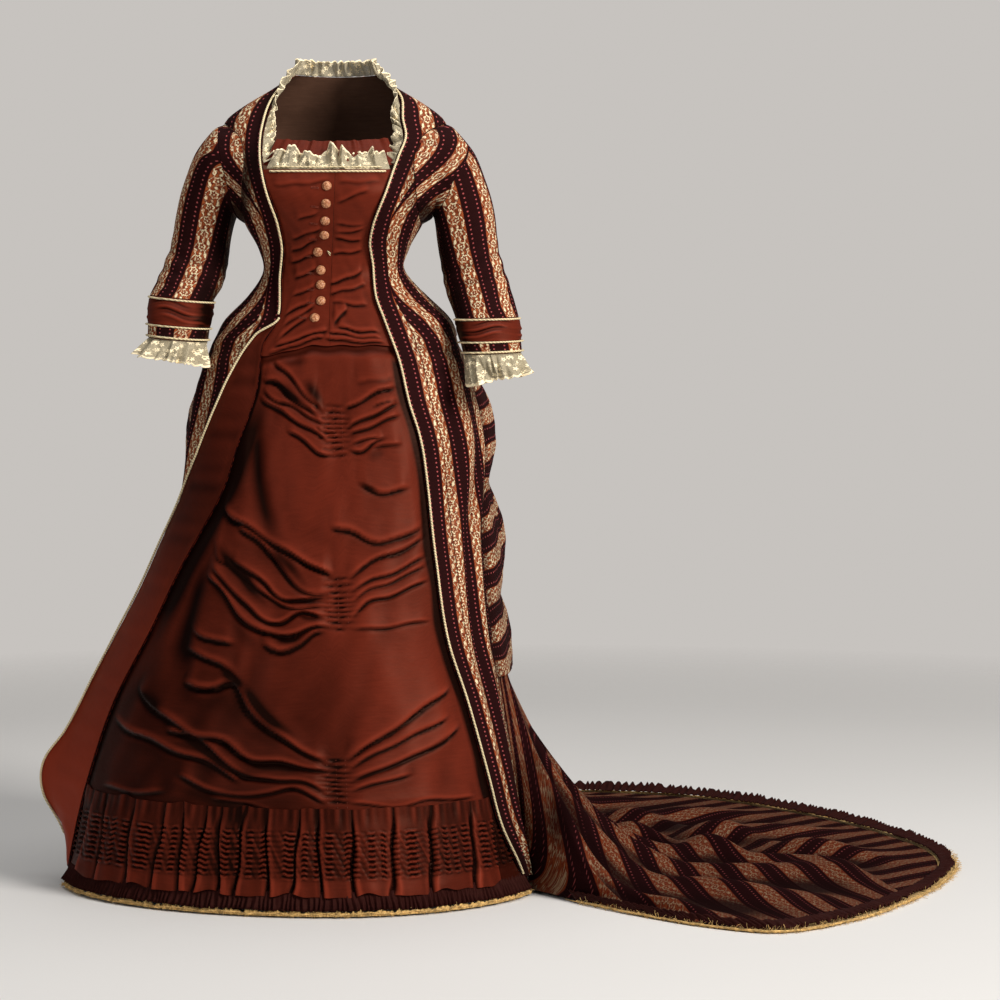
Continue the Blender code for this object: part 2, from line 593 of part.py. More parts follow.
def buttons():
    sides = 8
    # ring radius as a share of BUTTON, height above the button's base
    profile = ((0.32, 0.0000), (1.00, 0.0018), (0.96, 0.0032), (0.55, 0.0046))
    for index, (level, turn, base) in enumerate(BUTTONS):
        middle = body(np.array(turn), np.array(level), base)
        normal = form_normal(np.array(turn), np.array(level))
        right = unit(np.cross(normal, np.array([0.0, 0.0, 1.0])))
        above = np.cross(right, normal)
        points = []
        for share, rise in profile:
            for k in range(sides):
                angle = 2.0 * math.pi * k / sides
                aside = right * math.cos(angle) + above * math.sin(angle)
                points.append(middle + aside * (share * BUTTON) + normal * rise)
        points.append(middle)
        points.append(middle + normal * 0.0053)
        faces = []
        for row in range(len(profile) - 1):
            for k in range(sides):
                a, b = row * sides + k, row * sides + (k + 1) % sides
                faces += [(a, b, b + sides), (a, b + sides, a + sides)]
        bottom, top = len(points) - 2, len(points) - 1
        last = (len(profile) - 1) * sides
        for k in range(sides):
            j = (k + 1) % sides
            faces += [(k, bottom, j), (last + k, last + j, top)]
        solid("button_" + str(index + 1), points, faces, COPPER, 0.45)


def outline(share):
    """Point of the floor outline at a share of its length."""
    table = np.array(OUTLINE)
    step = np.linalg.norm(np.diff(table, axis=0), axis=1)
    run = np.concatenate([[0.0], np.cumsum(step)]) / step.sum()
    rows_x = np.column_stack([run, table[:, 0]])
    rows_y = np.column_stack([run, table[:, 1]])
    return np.stack([curve(rows_x, share), curve(rows_y, share)], axis=-1)


def train_grid(across, down):
    """Train surface: falls from the knee, then lies on the floor in soft folds."""
    u = np.linspace(0.0, 1.0, across)
    v = np.linspace(0.0, 1.0, down)
    left_turn = curve(SIDE, TRAIN_TOP, 2) + 0.5
    right_turn = 359.5 - curve(SIDE, TRAIN_TOP, 1)
    top_turn = left_turn + (right_turn - left_turn) * u ** 0.92
    start = body(top_turn, np.full(across, TRAIN_TOP), np.full(across, -0.0050))
    centre = np.array([0.10, 0.20])
    rim = outline(u)
    flat = unit(rim - centre)
    end = rim - flat * (TRAIN_RUFFLE * 0.9)
    u2, v2 = np.meshgrid(u, v)
    travel = 0.30 * v2 + 0.70 * v2 ** 1.6
    plan = start[None, :, :2] * (1.0 - travel[..., None]) + end[None] * travel[..., None]
    gone = np.linalg.norm(plan - start[None, :, :2], axis=-1)
    reach = np.linalg.norm(end - start[:, :2], axis=-1)
    touch = np.minimum(0.40, reach * 0.95)[None]
    drop = np.clip(1.0 - gone / touch, 0.0, 1.0)
    level = EDGE_TOP + (TRAIN_TOP - EDGE_TOP) * drop ** 1.9
    ridge = np.sin(u2 * 2.0 * math.pi * 6.5 + 0.8 * np.sin(v2 * 5.0)) ** 2
    body_fold = ease(gone, 0.02, 0.20) * (1.0 - ease(v2, 0.80, 1.0))
    side_fade = ease(u2, 0.02, 0.10) * (1.0 - ease(u2, 0.90, 0.98))
    level = level + 0.022 * ridge ** 1.5 * body_fold * side_fade
    grid = np.concatenate([plan, level[..., None]], axis=-1)
    levels = TRAIN_TOP * (1.0 - v) + EDGE_TOP * v
    for column, turn_sign in ((0, 1.0), (-1, -1.0)):
        turn = curve(SIDE, levels, 2 if turn_sign > 0 else 1)
        turn = turn + turn_for(0.0034, turn, levels)
        turn = turn if turn_sign > 0 else 360.0 - turn
        edge = body(turn, levels, 0.0 * levels)
        side_u = u2 if turn_sign > 0 else 1.0 - u2
        blend = (1.0 - ease(side_u, 0.0, 0.09))[..., None]
        grid = grid * (1.0 - blend) + edge[:, None, :] * blend
    return grid


def train():
    grid = train_grid(40, 12)
    sheet("train", grid, CLOTH, STRIPE, inward=np.broadcast_to([0.0, 0.0, -1.0], grid.shape))
    count = 93
    share = np.linspace(0.030, 0.980, count)
    rim = outline(share)
    centre = np.array([0.10, 0.20])
    flat = unit(rim - centre)
    wave = np.cos(np.linspace(0.0, (count - 1) * math.pi, count))
    near = rim - flat * (TRAIN_RUFFLE * 0.9 - 0.0030)
    base = np.concatenate([near, np.full((count, 1), 0.0094)], axis=1)
    tip = np.concatenate([rim + flat * 0.002, np.full((count, 1), 0.0120)], axis=1)
    up = np.broadcast_to([0.0, 0.0, 1.0], base.shape)
    ribbon("train_ruffle", base, tip, up, 0.0060 * wave, count, 2, PLUM)
    count = 47
    share = np.linspace(0.030, 0.980, count)
    rim = outline(share)
    flat = unit(rim - centre)
    base = np.concatenate([rim - flat * 0.026, np.full((count, 1), 0.0023)], axis=1)
    tip = np.concatenate([rim + flat * 0.011, np.full((count, 1), 0.0023)], axis=1)
    up = np.broadcast_to([0.0, 0.0, 1.0], base.shape)
    ribbon("train_lace", base, tip, up, np.zeros(count), count, 2, GOLD)


def main():
    for item in list(bpy.data.objects):
        bpy.data.objects.remove(item, do_unlink=True)
    vest_and_fronts()
    back_bodice()
    back_drape()
    apron()
    flounce()
    grid = revers()
    arms()
    pipings(grid)
    neck()
    buttons()
    train()


main()
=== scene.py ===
"""Victorian day dress: the cloth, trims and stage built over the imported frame.

The dress stands empty, as if worn. Tables give heights above the floor; the frame's
origin is the neck point, RISE above it. The front faces -Y, the wearer's left is +X.
"""
import math
import bpy
import numpy as np
from bpy.props import FloatProperty, FloatVectorProperty, PointerProperty
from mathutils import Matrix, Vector


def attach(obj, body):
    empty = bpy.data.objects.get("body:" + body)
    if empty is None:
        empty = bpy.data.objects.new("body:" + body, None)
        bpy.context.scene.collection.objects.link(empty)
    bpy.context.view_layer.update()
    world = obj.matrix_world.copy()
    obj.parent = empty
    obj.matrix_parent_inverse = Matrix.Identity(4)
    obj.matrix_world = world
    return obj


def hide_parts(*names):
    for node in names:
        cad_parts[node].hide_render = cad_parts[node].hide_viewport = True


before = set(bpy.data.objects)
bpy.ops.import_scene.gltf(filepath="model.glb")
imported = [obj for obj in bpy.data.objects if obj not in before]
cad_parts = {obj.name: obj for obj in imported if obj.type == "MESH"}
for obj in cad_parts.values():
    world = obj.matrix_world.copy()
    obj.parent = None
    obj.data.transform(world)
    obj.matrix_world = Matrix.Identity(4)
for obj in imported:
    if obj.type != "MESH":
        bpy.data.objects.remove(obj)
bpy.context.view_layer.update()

bl_info = {
    "name": "Victorian Day Dress",
    "version": (1, 0, 0),
    "blender": (4, 5, 0),
    "location": "3D View > Sidebar > Dress",
    "description": "Builds a striped and pleated trained day dress piece by piece",
    "category": "Object",
}

RISE = 1.345            # neck point above the floor
OVER = 0.0040           # outer face of the overdress above the body form
CORD = 0.0018           # half the width of the piping cord
BUTTON = 0.0078         # half the width of a button
TRAIN_TOP = 0.395       # height where the train starts under the drape
EDGE_TOP = 0.0050       # top face of the train at its edge
TRAIN_RUFFLE = 0.026    # how far the ruffle stands out from the train
TRAIN_MIDDLE = (0.10, 0.20)     # spot on the floor that the train's edge faces away from
WALL = 0.0011           # thickness of the striped cloth, the vest and the cuffs
THIN = 0.0010           # thickness of the skirt's silks
NET = 0.0005            # thickness of the neck and cuff lace
ARM_LEVEL = 1.183       # height of the middle of the armhole
ARM_HOLE = (0.082, 32.0)        # armhole: half its height, and half its width in degrees
ARM_LOOP = (0.0811, 31.55)      # first ring of the sleeve, just inside the armhole
SEAM_GAP = 0.0004       # half the gap between two sewn panels
HEM_TURNS = (-79.4, 72.0)       # where the hem ruffle starts and ends, in degrees
RUST_SHEEN = (0.85, 0.30, 0.18)
UP = np.array([0.0, 0.0, 1.0])

# The worn form: one level section a row, angles measured from the front (-Y).
# height, right half width, left half width, front, back, centre y, squareness
FORM = (
    (0.000, 0.455, 0.345, 0.335, 0.420, 0.000, 2.00),
    (0.200, 0.412, 0.310, 0.303, 0.380, 0.000, 2.00),
    (0.400, 0.348, 0.277, 0.264, 0.345, 0.000, 2.05),
    (0.550, 0.289, 0.262, 0.234, 0.330, 0.000, 2.10),
    (0.650, 0.252, 0.250, 0.210, 0.315, 0.000, 2.10),
    (0.750, 0.237, 0.244, 0.186, 0.300, 0.000, 2.15),
    (0.850, 0.219, 0.221, 0.160, 0.270, 0.000, 2.20),
    (0.900, 0.199, 0.203, 0.146, 0.240, 0.000, 2.20),
    (0.940, 0.178, 0.190, 0.131, 0.195, 0.000, 2.20),
    (0.980, 0.139, 0.150, 0.112, 0.140, 0.000, 2.20),
    (1.025, 0.113, 0.112, 0.098, 0.094, 0.000, 2.20),
    (1.060, 0.121, 0.120, 0.103, 0.088, 0.000, 2.20),
    (1.100, 0.142, 0.142, 0.122, 0.095, 0.000, 2.30),
    (1.150, 0.160, 0.160, 0.136, 0.104, 0.000, 2.40),
    (1.200, 0.172, 0.172, 0.120, 0.110, 0.008, 2.40),
    (1.240, 0.181, 0.181, 0.095, 0.098, 0.016, 2.30),
    (1.270, 0.178, 0.178, 0.074, 0.082, 0.022, 2.20),
    (1.295, 0.146, 0.146, 0.062, 0.068, 0.026, 2.10),
    (1.320, 0.104, 0.104, 0.052, 0.058, 0.030, 2.10),
    (1.345, 0.066, 0.066, 0.046, 0.050, 0.032, 2.10),
)
# Front edge of the right overdress, then the fold of its revers: height, degrees
EDGE_RIGHT = (
    (0.000, 80.0), (0.120, 79.0), (0.200, 77.0), (0.300, 74.0), (0.434, 64.2), (0.539, 57.7),
    (0.600, 52.2), (0.682, 44.5), (0.745, 41.2), (0.795, 37.8), (0.833, 36.2), (0.871, 37.2),
    (0.905, 38.0), (0.950, 32.5), (0.979, 36.5), (1.018, 43.0), (1.068, 37.5), (1.090, 34.5),
    (1.143, 34.0), (1.200, 45.2), (1.239, 53.2), (1.289, 63.2), (1.334, 72.0), (1.345, 75.0),
)
# Front edge of the left overdress: height, degrees
EDGE_LEFT = (
    (0.000, 71.0), (0.039, 68.8), (0.120, 61.5), (0.206, 58.2), (0.330, 53.0), (0.425, 47.5),
    (0.560, 45.5), (0.679, 46.0), (0.761, 45.0), (0.809, 42.8), (0.878, 41.5), (0.951, 37.8),
    (0.979, 37.2), (1.029, 40.0), (1.085, 33.0), (1.131, 33.8), (1.209, 49.2), (1.239, 57.5),
    (1.268, 61.8), (1.325, 77.2), (1.345, 80.0),
)
# Outer edge of the revers: height, degrees, standing off the form
REVERS_EDGE = (
    (0.030, 86.0, 0.014), (0.120, 88.0, 0.066), (0.180, 89.0, 0.078), (0.235, 88.0, 0.056),
    (0.333, 86.0, 0.036), (0.408, 84.0, 0.024), (0.475, 82.0, 0.016), (0.583, 78.0, 0.011),
    (0.672, 70.0, 0.010), (0.728, 62.8, 0.009), (0.760, 59.8, 0.009), (0.809, 55.2, 0.009),
    (0.861, 50.8, 0.009), (0.899, 46.5, 0.009), (0.926, 41.5, 0.009), (0.946, 36.0, 0.009),
)
# Side seams: height, degrees on the right, degrees on the left
SIDE = (
    (0.000, 84.0, 75.5), (0.100, 85.0, 76.0), (0.200, 86.5, 76.5), (0.320, 88.5, 76.0),
    (0.420, 90.0, 74.5), (0.520, 90.0, 73.5), (0.600, 90.0, 76.0), (0.660, 90.0, 83.0),
    (0.730, 90.0, 90.0), (0.900, 90.0, 90.0), (1.345, 90.0, 90.0),
)
# Closing line of the vest: height, degrees
CLOSE = ((0.900, 3.5), (0.978, 2.8), (1.084, 5.5), (1.186, 7.0), (1.200, 7.0))
# Buttons: height, degrees, base above the form
BUTTONS = (
    (1.163, 1.5, 0.0006), (1.135, 1.0, 0.0004), (1.107, -0.2, 0.0003),
    (1.084, -1.5, 0.0006), (1.056, -8.5, 0.0007), (1.026, -6.2, 0.0015),
    (1.002, -5.8, 0.0007), (0.976, -4.5, 0.0007), (0.949, -8.0, 0.0000),
)
# Buttonholes: height, degrees of their middle
BUTTONHOLES = (
    (1.160, -6.6), (1.130, -6.8), (1.103, -9.0), (1.078, -11.2), (1.049, -18.2), (1.021, -16.8),
    (0.994, -14.6), (0.972, -12.8), (0.948, -16.6),
)
# Arms: inner x and height, outer x and height, middle y, half depth
ARM_RIGHT = (
    (0.160, 1.108, 0.199, 1.252, 0.008, 0.066), (0.163, 1.113, 0.225, 1.210, 0.010, 0.060),
    (0.167, 1.100, 0.242, 1.160, 0.010, 0.056), (0.173, 1.070, 0.257, 1.112, 0.008, 0.054),
    (0.178, 1.035, 0.272, 1.062, 0.000, 0.052), (0.185, 1.000, 0.292, 1.012, -0.022, 0.052),
    (0.196, 0.975, 0.301, 0.985, -0.042, 0.050),
)
ARM_LEFT = (
    (0.160, 1.108, 0.199, 1.252, 0.008, 0.066), (0.163, 1.113, 0.226, 1.208, 0.010, 0.060),
    (0.166, 1.100, 0.243, 1.160, 0.010, 0.056), (0.171, 1.070, 0.260, 1.112, 0.006, 0.054),
    (0.180, 1.030, 0.274, 1.058, -0.004, 0.051), (0.190, 0.990, 0.294, 1.004, -0.026, 0.049),
    (0.206, 0.948, 0.310, 0.950, -0.054, 0.046),
)
# Cuffs, then their lace: rings like the arms' ones
CUFF_RIGHT = (
    (0.1958, 0.9742, 0.3012, 0.9842, -0.0426, 0.0501), (0.198, 0.942, 0.301, 0.950, -0.064, 0.049),
    (0.200, 0.908, 0.299, 0.916, -0.084, 0.047),
)
CUFF_LEFT = (
    (0.2058, 0.9472, 0.3102, 0.9492, -0.0545, 0.0461), (0.213, 0.920, 0.314, 0.922, -0.071, 0.046),
    (0.222, 0.889, 0.318, 0.893, -0.090, 0.045),
)
LACE_RIGHT = (
    (0.2005, 0.9072, 0.2985, 0.9152, -0.0845, 0.0464), (0.199, 0.878, 0.310, 0.896, -0.100, 0.050),
    (0.200, 0.858, 0.320, 0.880, -0.112, 0.052),
)
LACE_LEFT = (
    (0.2225, 0.8882, 0.3175, 0.8922, -0.0905, 0.0444), (0.231, 0.850, 0.328, 0.868, -0.106, 0.048),
    (0.241, 0.826, 0.337, 0.850, -0.118, 0.052),
)
# Outline of the train on the floor, from the left front hem round to the right: x, y
OUTLINE = (
    (0.346, -0.086), (0.372, -0.128), (0.430, -0.198), (0.520, -0.288), (0.617, -0.368),
    (0.727, -0.416), (0.854, -0.308), (0.940, -0.150), (1.006, 0.031), (1.036, 0.190),
    (1.026, 0.330), (0.962, 0.500), (0.790, 0.760), (0.595, 0.935), (0.381, 0.995),
    (0.120, 0.930), (-0.080, 0.780), (-0.250, 0.550), (-0.370, 0.305), (-0.438, 0.110),
)


def between(t, span, start, end, slope, end_slope):
    """Smooth value at share t of a span that starts and ends with the given values and slopes."""
    low = (2 * t ** 3 - 3 * t ** 2 + 1) * start + (t ** 3 - 2 * t ** 2 + t) * span * slope
    high = (3 * t ** 2 - 2 * t ** 3) * end + (t ** 3 - t ** 2) * span * end_slope
    return low + high


def curve(rows, x, column=1):
    """Smooth value of one table column at x; the first column rises."""
    table = np.array(rows, float)
    xs = table[:, 0]
    ys = table[:, column]
    slope = np.gradient(ys, xs)
    x = np.clip(np.asarray(x, float), xs[0], xs[-1])
    i = np.clip(np.searchsorted(xs, x, side="right") - 1, 0, len(xs) - 2)
    h = xs[i + 1] - xs[i]
    t = (x - xs[i]) / h
    return between(t, h, ys[i], ys[i + 1], slope[i], slope[i + 1])


def ease(x, low, high):
    """Smooth step from 0 at low to 1 at high."""
    t = np.clip((np.asarray(x, float) - low) / (high - low), 0.0, 1.0)
    return t * t * (3.0 - 2.0 * t)


def wane(x, low, high):
    """Smooth step from 1 at low to 0 at high."""
    return 1.0 - ease(x, low, high)


def bell(x, middle, width):
    """Soft bump of height 1 round a middle."""
    return np.exp(-((x - middle) / width) ** 2)


def unit_clip(x):
    """Shade kept from -1, lit, to 1, dark."""
    return np.clip(x, -1.0, 1.0)


def section(degrees, height):
    """Point of the worn form, without any offset."""
    angle = np.radians(np.asarray(degrees, float))
    height = np.asarray(height, float) + 0.0 * angle
    side = np.where(np.sin(angle) < 0.0, curve(FORM, height, 1), curve(FORM, height, 2))
    deep = np.where(np.cos(angle) > 0.0, curve(FORM, height, 3), curve(FORM, height, 4))
    power = curve(FORM, height, 6)
    across = (np.abs(np.sin(angle)) / side) ** power
    along = (np.abs(np.cos(angle)) / deep) ** power
    radius = (across + along) ** (-1.0 / power)
    turn = np.degrees(angle)
    bust = np.exp(-((np.abs(turn) - 28.0) / 17.0) ** 2 - ((height - 1.155) / 0.045) ** 2)
    radius = radius + 0.008 * bust
    x = radius * np.sin(angle)
    y = -radius * np.cos(angle) + curve(FORM, height, 5)
    return np.stack([x, y, height], axis=-1)


def unit(vectors):
    """Vectors made one metre long."""
    return vectors / np.linalg.norm(vectors, axis=-1, keepdims=True)


def form_normal(degrees, height):
    """Way that the form faces at a place."""
    turn = section(np.asarray(degrees) + 0.4, height) - section(np.asarray(degrees) - 0.4, height)
    low = np.clip(np.asarray(height, float) - 0.002, 0.0, 1.343)
    rise = section(degrees, low + 0.002) - section(degrees, low)
    return unit(np.cross(turn, rise))


def body(degrees, height, out=0.0):
    """Point standing off the form by out."""
    out = np.asarray(out, float)[..., None]
    return section(degrees, height) + form_normal(degrees, height) * out


def grid_normal(grid, closed=False):
    """Normals of a grid of points, rows down and columns round."""
    if closed:
        across = np.roll(grid, -1, axis=1) - np.roll(grid, 1, axis=1)
    else:
        across = np.gradient(grid, axis=1)
    down = np.gradient(grid, axis=0)
    return unit(np.cross(across, down))


def turn_for(width, degrees, height):
    """Degrees that a width takes up on the form at this place."""
    step = section(np.asarray(degrees) + 0.5, height) - section(np.asarray(degrees) - 0.5, height)
    return width / np.linalg.norm(step, axis=-1)


def armhole(height):
    """Half width of the armhole in degrees at a height."""
    tall, wide = ARM_HOLE
    inside = np.clip(1.0 - ((np.asarray(height, float) - ARM_LEVEL) / tall) ** 2, 0.0, 1.0)
    return wide * np.sqrt(inside)


def loop_point(sign, swing, out):
    """Point of the armhole ring; swing 0 is the front and 90 the top."""
    angle = np.radians(swing)
    tall, wide = ARM_LOOP
    level = ARM_LEVEL + tall * np.sin(angle)
    turn = 90.0 - wide * np.cos(angle)
    return body(sign * turn, level, out + 0.0 * turn)


def ring(row, sign, swing, grow=0.0):
    """Oval ring between an inner and an outer point of the arm."""
    in_x, in_z, out_x, out_z, y, half = row
    angle = np.radians(swing)
    reach = np.sin(angle)
    middle = np.array([(in_x + out_x) / 2.0, y, (in_z + out_z) / 2.0])
    arm = np.array([(out_x - in_x) / 2.0, 0.0, (out_z - in_z) / 2.0])
    scale = 1.0 + grow / np.linalg.norm(arm)
    points = middle + np.outer(reach * scale, arm)
    points[:, 1] -= np.cos(angle) * (half + grow)
    points[:, 0] *= sign
    return points


def refine(grid, rows):
    """More rows through a coarse grid of rings, smoothly."""
    coarse = len(grid)
    at = np.linspace(0.0, coarse - 1.0, rows)
    i = np.clip(at.astype(int), 0, coarse - 2)
    t = (at - i)[:, None, None]
    slope = np.gradient(grid, axis=0)
    return between(t, 1.0, grid[i], grid[i + 1], slope[i], slope[i + 1])


def across_of(grid, closed=False):
    """Metres of cloth from the first column, along each row."""
    wide = np.concatenate([grid, grid[:, :1]], axis=1) if closed else grid
    step = np.linalg.norm(np.diff(wide, axis=1), axis=2)
    return np.concatenate([np.zeros((len(grid), 1)), np.cumsum(step, axis=1)], axis=1)


def down_of(grid):
    """Metres of cloth from the first row, down each column."""
    step = np.linalg.norm(np.diff(grid, axis=0), axis=2)
    return np.concatenate([np.zeros((1, grid.shape[1])), np.cumsum(step, axis=0)], axis=0)


def noise_wave(x, seed, octaves=3):
    """Smooth uneven wave from sines, about -1 to 1, the same every run."""
    total = 0.0 * x
    for k in range(octaves):
        pace = (1.0 + 0.83 * k) * (1.0 + 0.17 * math.sin(seed * 3.1 + k))
        total = total + np.sin(x * pace + seed * (1.7 + k)) / (1.0 + 0.6 * k)
    return total / 1.9


def creases(turn, level, folds, reach):
    """Relief of folds along lines of degrees and heights, each lapping over the cloth below, with a painted
    shadow under each and a painted highlight on its crest.
    """
    bulge, sunk, shadow, crest = (np.zeros(np.broadcast(turn, level).shape) for _ in range(4))
    for depth, half, line in folds:
        wide = reach(np.mean([spot[1] for spot in line]))
        first, last = line[0][0], line[-1][0]
        slope = (curve(line, turn + 0.5) - curve(line, turn - 0.5)) / wide
        waver = 0.16 * half * np.sin(turn * 0.35 + first * 3.0)
        aside = (level - curve(line, turn) + waver) / np.sqrt(1.0 + slope ** 2)
        narrow = half * (0.9 + 0.3 * np.sin(turn * 0.13 + first))
        ends = min(4.0, 0.25 * (last - first))
        fade = ease(turn, first - 0.3 * ends, first + ends) * wane(turn, last - ends, last + 0.3 * ends)
        above = np.exp(-(np.clip(aside, 0.0, None) / (2.3 * narrow)) ** 1.2)
        fall = 0.0013 + 0.10 * half
        below = np.exp(-(np.clip(aside, None, 0.0) / fall) ** 2)
        trough = bell(aside, -2.2 * fall, 1.4 * fall)
        bulge = np.maximum(bulge, depth * fade * above * below)
        sunk = np.maximum(sunk, 0.45 * depth * fade * trough)
        # Painted shadow: a dark line under each fold and softer shade below it; painted highlight along
        # each crest.
        line_shadow = np.exp(-((aside + 1.7 * fall) / (0.0010 + 0.07 * half)) ** 2)
        under = 0.48 * bell(aside, 0.0, 1.2 * half) * (aside < 0.0)
        strong = min(1.0, depth / 0.0040) * fade
        shadow = np.maximum(shadow, strong * np.maximum(line_shadow, under))
        crest = np.maximum(crest, strong * bell(aside, 0.30 * half, 0.30 * half))
    return bulge - sunk, shadow - 0.5 * crest * (1.0 - shadow)


def dark_hollows(turn, level, painted_hollows, reach):
    """Painted shade: soft dark patches along lines of degrees and heights, pointed at both ends."""
    total = np.zeros(np.broadcast(turn, level).shape)
    for strong, half, line in painted_hollows:
        wide = reach(np.mean([spot[1] for spot in line]))
        first, last = line[0][0], line[-1][0]
        slope = (curve(line, turn + 0.5) - curve(line, turn - 0.5)) / wide
        aside = (level - curve(line, turn)) / np.sqrt(1.0 + slope ** 2)
        ends = 0.38 * (last - first)
        fade = ease(turn, first - 0.5 * ends, first + ends) * wane(turn, last - ends, last + 0.5 * ends)
        narrow = half * (0.40 + 0.90 * fade)
        total = np.maximum(total, strong * fade * np.exp(-np.abs(aside / narrow) ** 2.4))
    return np.minimum(1.12 * total, 1.0)


def blurred(values, rows, columns):
    """Mean of each spot's surroundings."""
    near = np.asarray(values, float)
    for axis, reach in ((0, rows), (1, columns)):
        sides = [(0, 0), (0, 0)]
        sides[axis] = (reach + 1, reach)
        total = np.cumsum(np.pad(near, sides, mode="edge"), axis=axis)
        size = total.shape[axis]
        high = np.take(total, np.arange(2 * reach + 1, size), axis=axis)
        low = np.take(total, np.arange(0, size - 2 * reach - 1), axis=axis)
        near = (high - low) / (2.0 * reach + 1.0)
    return near


def hollows(out, rows, columns, deep):
    """How far each spot lies below the mean of its surroundings, -1 to 1."""
    return unit_clip((blurred(out, rows, columns) - out) / deep)


def quads(rows, columns, closed):
    """Corner numbers and cloth-map spots of the quads of a sheet."""
    wrap = columns if closed else columns - 1
    i, j = (part.ravel() for part in np.meshgrid(np.arange(rows - 1), np.arange(wrap), indexing="ij"))
    k = (j + 1) % columns
    wide = columns + 1 if closed else columns
    face = np.stack([i * columns + j, i * columns + k, (i + 1) * columns + k, (i + 1) * columns + j], 1)
    spot = np.stack([i * wide + j, i * wide + j + 1, (i + 1) * wide + j + 1, (i + 1) * wide + j], 1)
    return face, spot, wrap, wide


def shell_faces(rows, columns, closed):
    """Corner numbers and cloth-map spots of a thin shell: outer side, inner side and rims."""
    face, spot, wrap, wide = quads(rows, columns, closed)
    size = rows * columns
    faces, spots = [face, face[:, ::-1] + size], [spot, spot[:, ::-1]]

    def rim(a, b, sa, sb):
        faces.append(np.stack([b, a, a + size, b + size], 1))
        spots.append(np.stack([sb, sa, sa, sb], 1))

    j = np.arange(wrap)
    k = (j + 1) % columns
    last, far = (rows - 1) * columns, (rows - 1) * wide
    rim(j, k, j, j + 1)
    rim(last + k, last + j, far + j + 1, far + j)
    if not closed:
        i = np.arange(rows - 1) * columns
        rim(i + columns, i, i + columns, i)
        i = i + columns - 1
        rim(i, i + columns, i, i + columns)
    return np.concatenate(faces), np.concatenate(spots)


def mesh_of(name, points, edges, faces):
    """Mesh from points above the floor."""
    mesh = bpy.data.meshes.new(name)
    mesh.from_pydata((np.asarray(points) - RISE * UP).tolist(), edges, faces)
    return mesh


def map_cloth(mesh, name, spots, values):
    """UV map in metres of cloth from one value a spot."""
    layer = mesh.uv_layers.new(name=name)
    layer.data.foreach_set("uv", values.reshape(-1, 2)[spots.ravel()].astype(np.float32).ravel())


def note(mesh, label, data, vector=False):
    """Attribute that a material or tree reads, one value or vector a point."""
    mark = mesh.attributes.new(label, "FLOAT_VECTOR" if vector else "FLOAT", "POINT")
    mark.data.foreach_set("vector" if vector else "value", np.ascontiguousarray(data, np.float32).ravel())


def linked(name, data):
    """New object in the scene."""
    item = bpy.data.objects.new(name, data)
    bpy.context.scene.collection.objects.link(item)
    return item


def cloth(name, outer, wall, look, closed=False, inward=None, uv=None, beyond=None, seam=None, shade=None,
          lined=False):
    """Thin closed shell of cloth behind a grid of points above the floor."""
    rows, columns = outer.shape[:2]
    normal = grid_normal(outer, closed)
    turned = inward is not None and np.sum(normal * inward) > 0.0
    if turned:
        normal = -normal
    inner = outer - normal * wall
    faces, spots = shell_faces(rows, columns, closed)
    if turned:
        faces, spots = faces[:, ::-1], spots[:, ::-1]
    mesh = mesh_of(name, np.concatenate([outer.reshape(-1, 3), inner.reshape(-1, 3)]), [], faces.tolist())
    if uv is None:
        down = np.concatenate([down_of(outer), down_of(outer)[:, :1]], 1) if closed else down_of(outer)
        uv = np.stack([across_of(outer, closed), down], -1)
    map_cloth(mesh, "cloth", spots, uv)
    if beyond is not None:
        map_cloth(mesh, "beyond", spots, beyond)
        note(mesh, "seam", np.concatenate([seam.ravel()] * 2))
        mesh.uv_layers["cloth"].active = True
    if shade is not None:
        note(mesh, "shade", np.concatenate([shade.ravel()] * 2))
    mesh.polygons.foreach_set("use_smooth", np.ones(len(faces), bool))
    mesh.set_sharp_from_angle(angle=math.radians(55.0))
    mesh.materials.append(look_of(look))
    if lined:
        mesh.materials.append(look_of("lining"))
        side = (rows - 1) * (columns if closed else columns - 1)
        inside = np.zeros(len(faces), np.int32)
        inside[side:2 * side] = 1
        mesh.polygons.foreach_set("material_index", inside)
    mesh.update()
    return linked(name, mesh)


def path_mesh(name, path, closed=False, facing=None):
    """Edges along a path, with the way each point faces."""
    count = len(path)
    edges = [(i, i + 1) for i in range(count - 1)] + ([(count - 1, 0)] if closed else [])
    mesh = mesh_of(name, path, edges, [])
    if facing is not None:
        note(mesh, "facing", facing, True)
    return linked(name, mesh)


def sewn(piece, nodes):
    """Put a piece on the frame in place of its nodes."""
    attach(piece, "root")
    if nodes:
        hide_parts(*nodes)


def sewn_strip(piece, node):
    """Put a ruffle or lace on the frame in place of its node."""
    sewn(piece, [node])


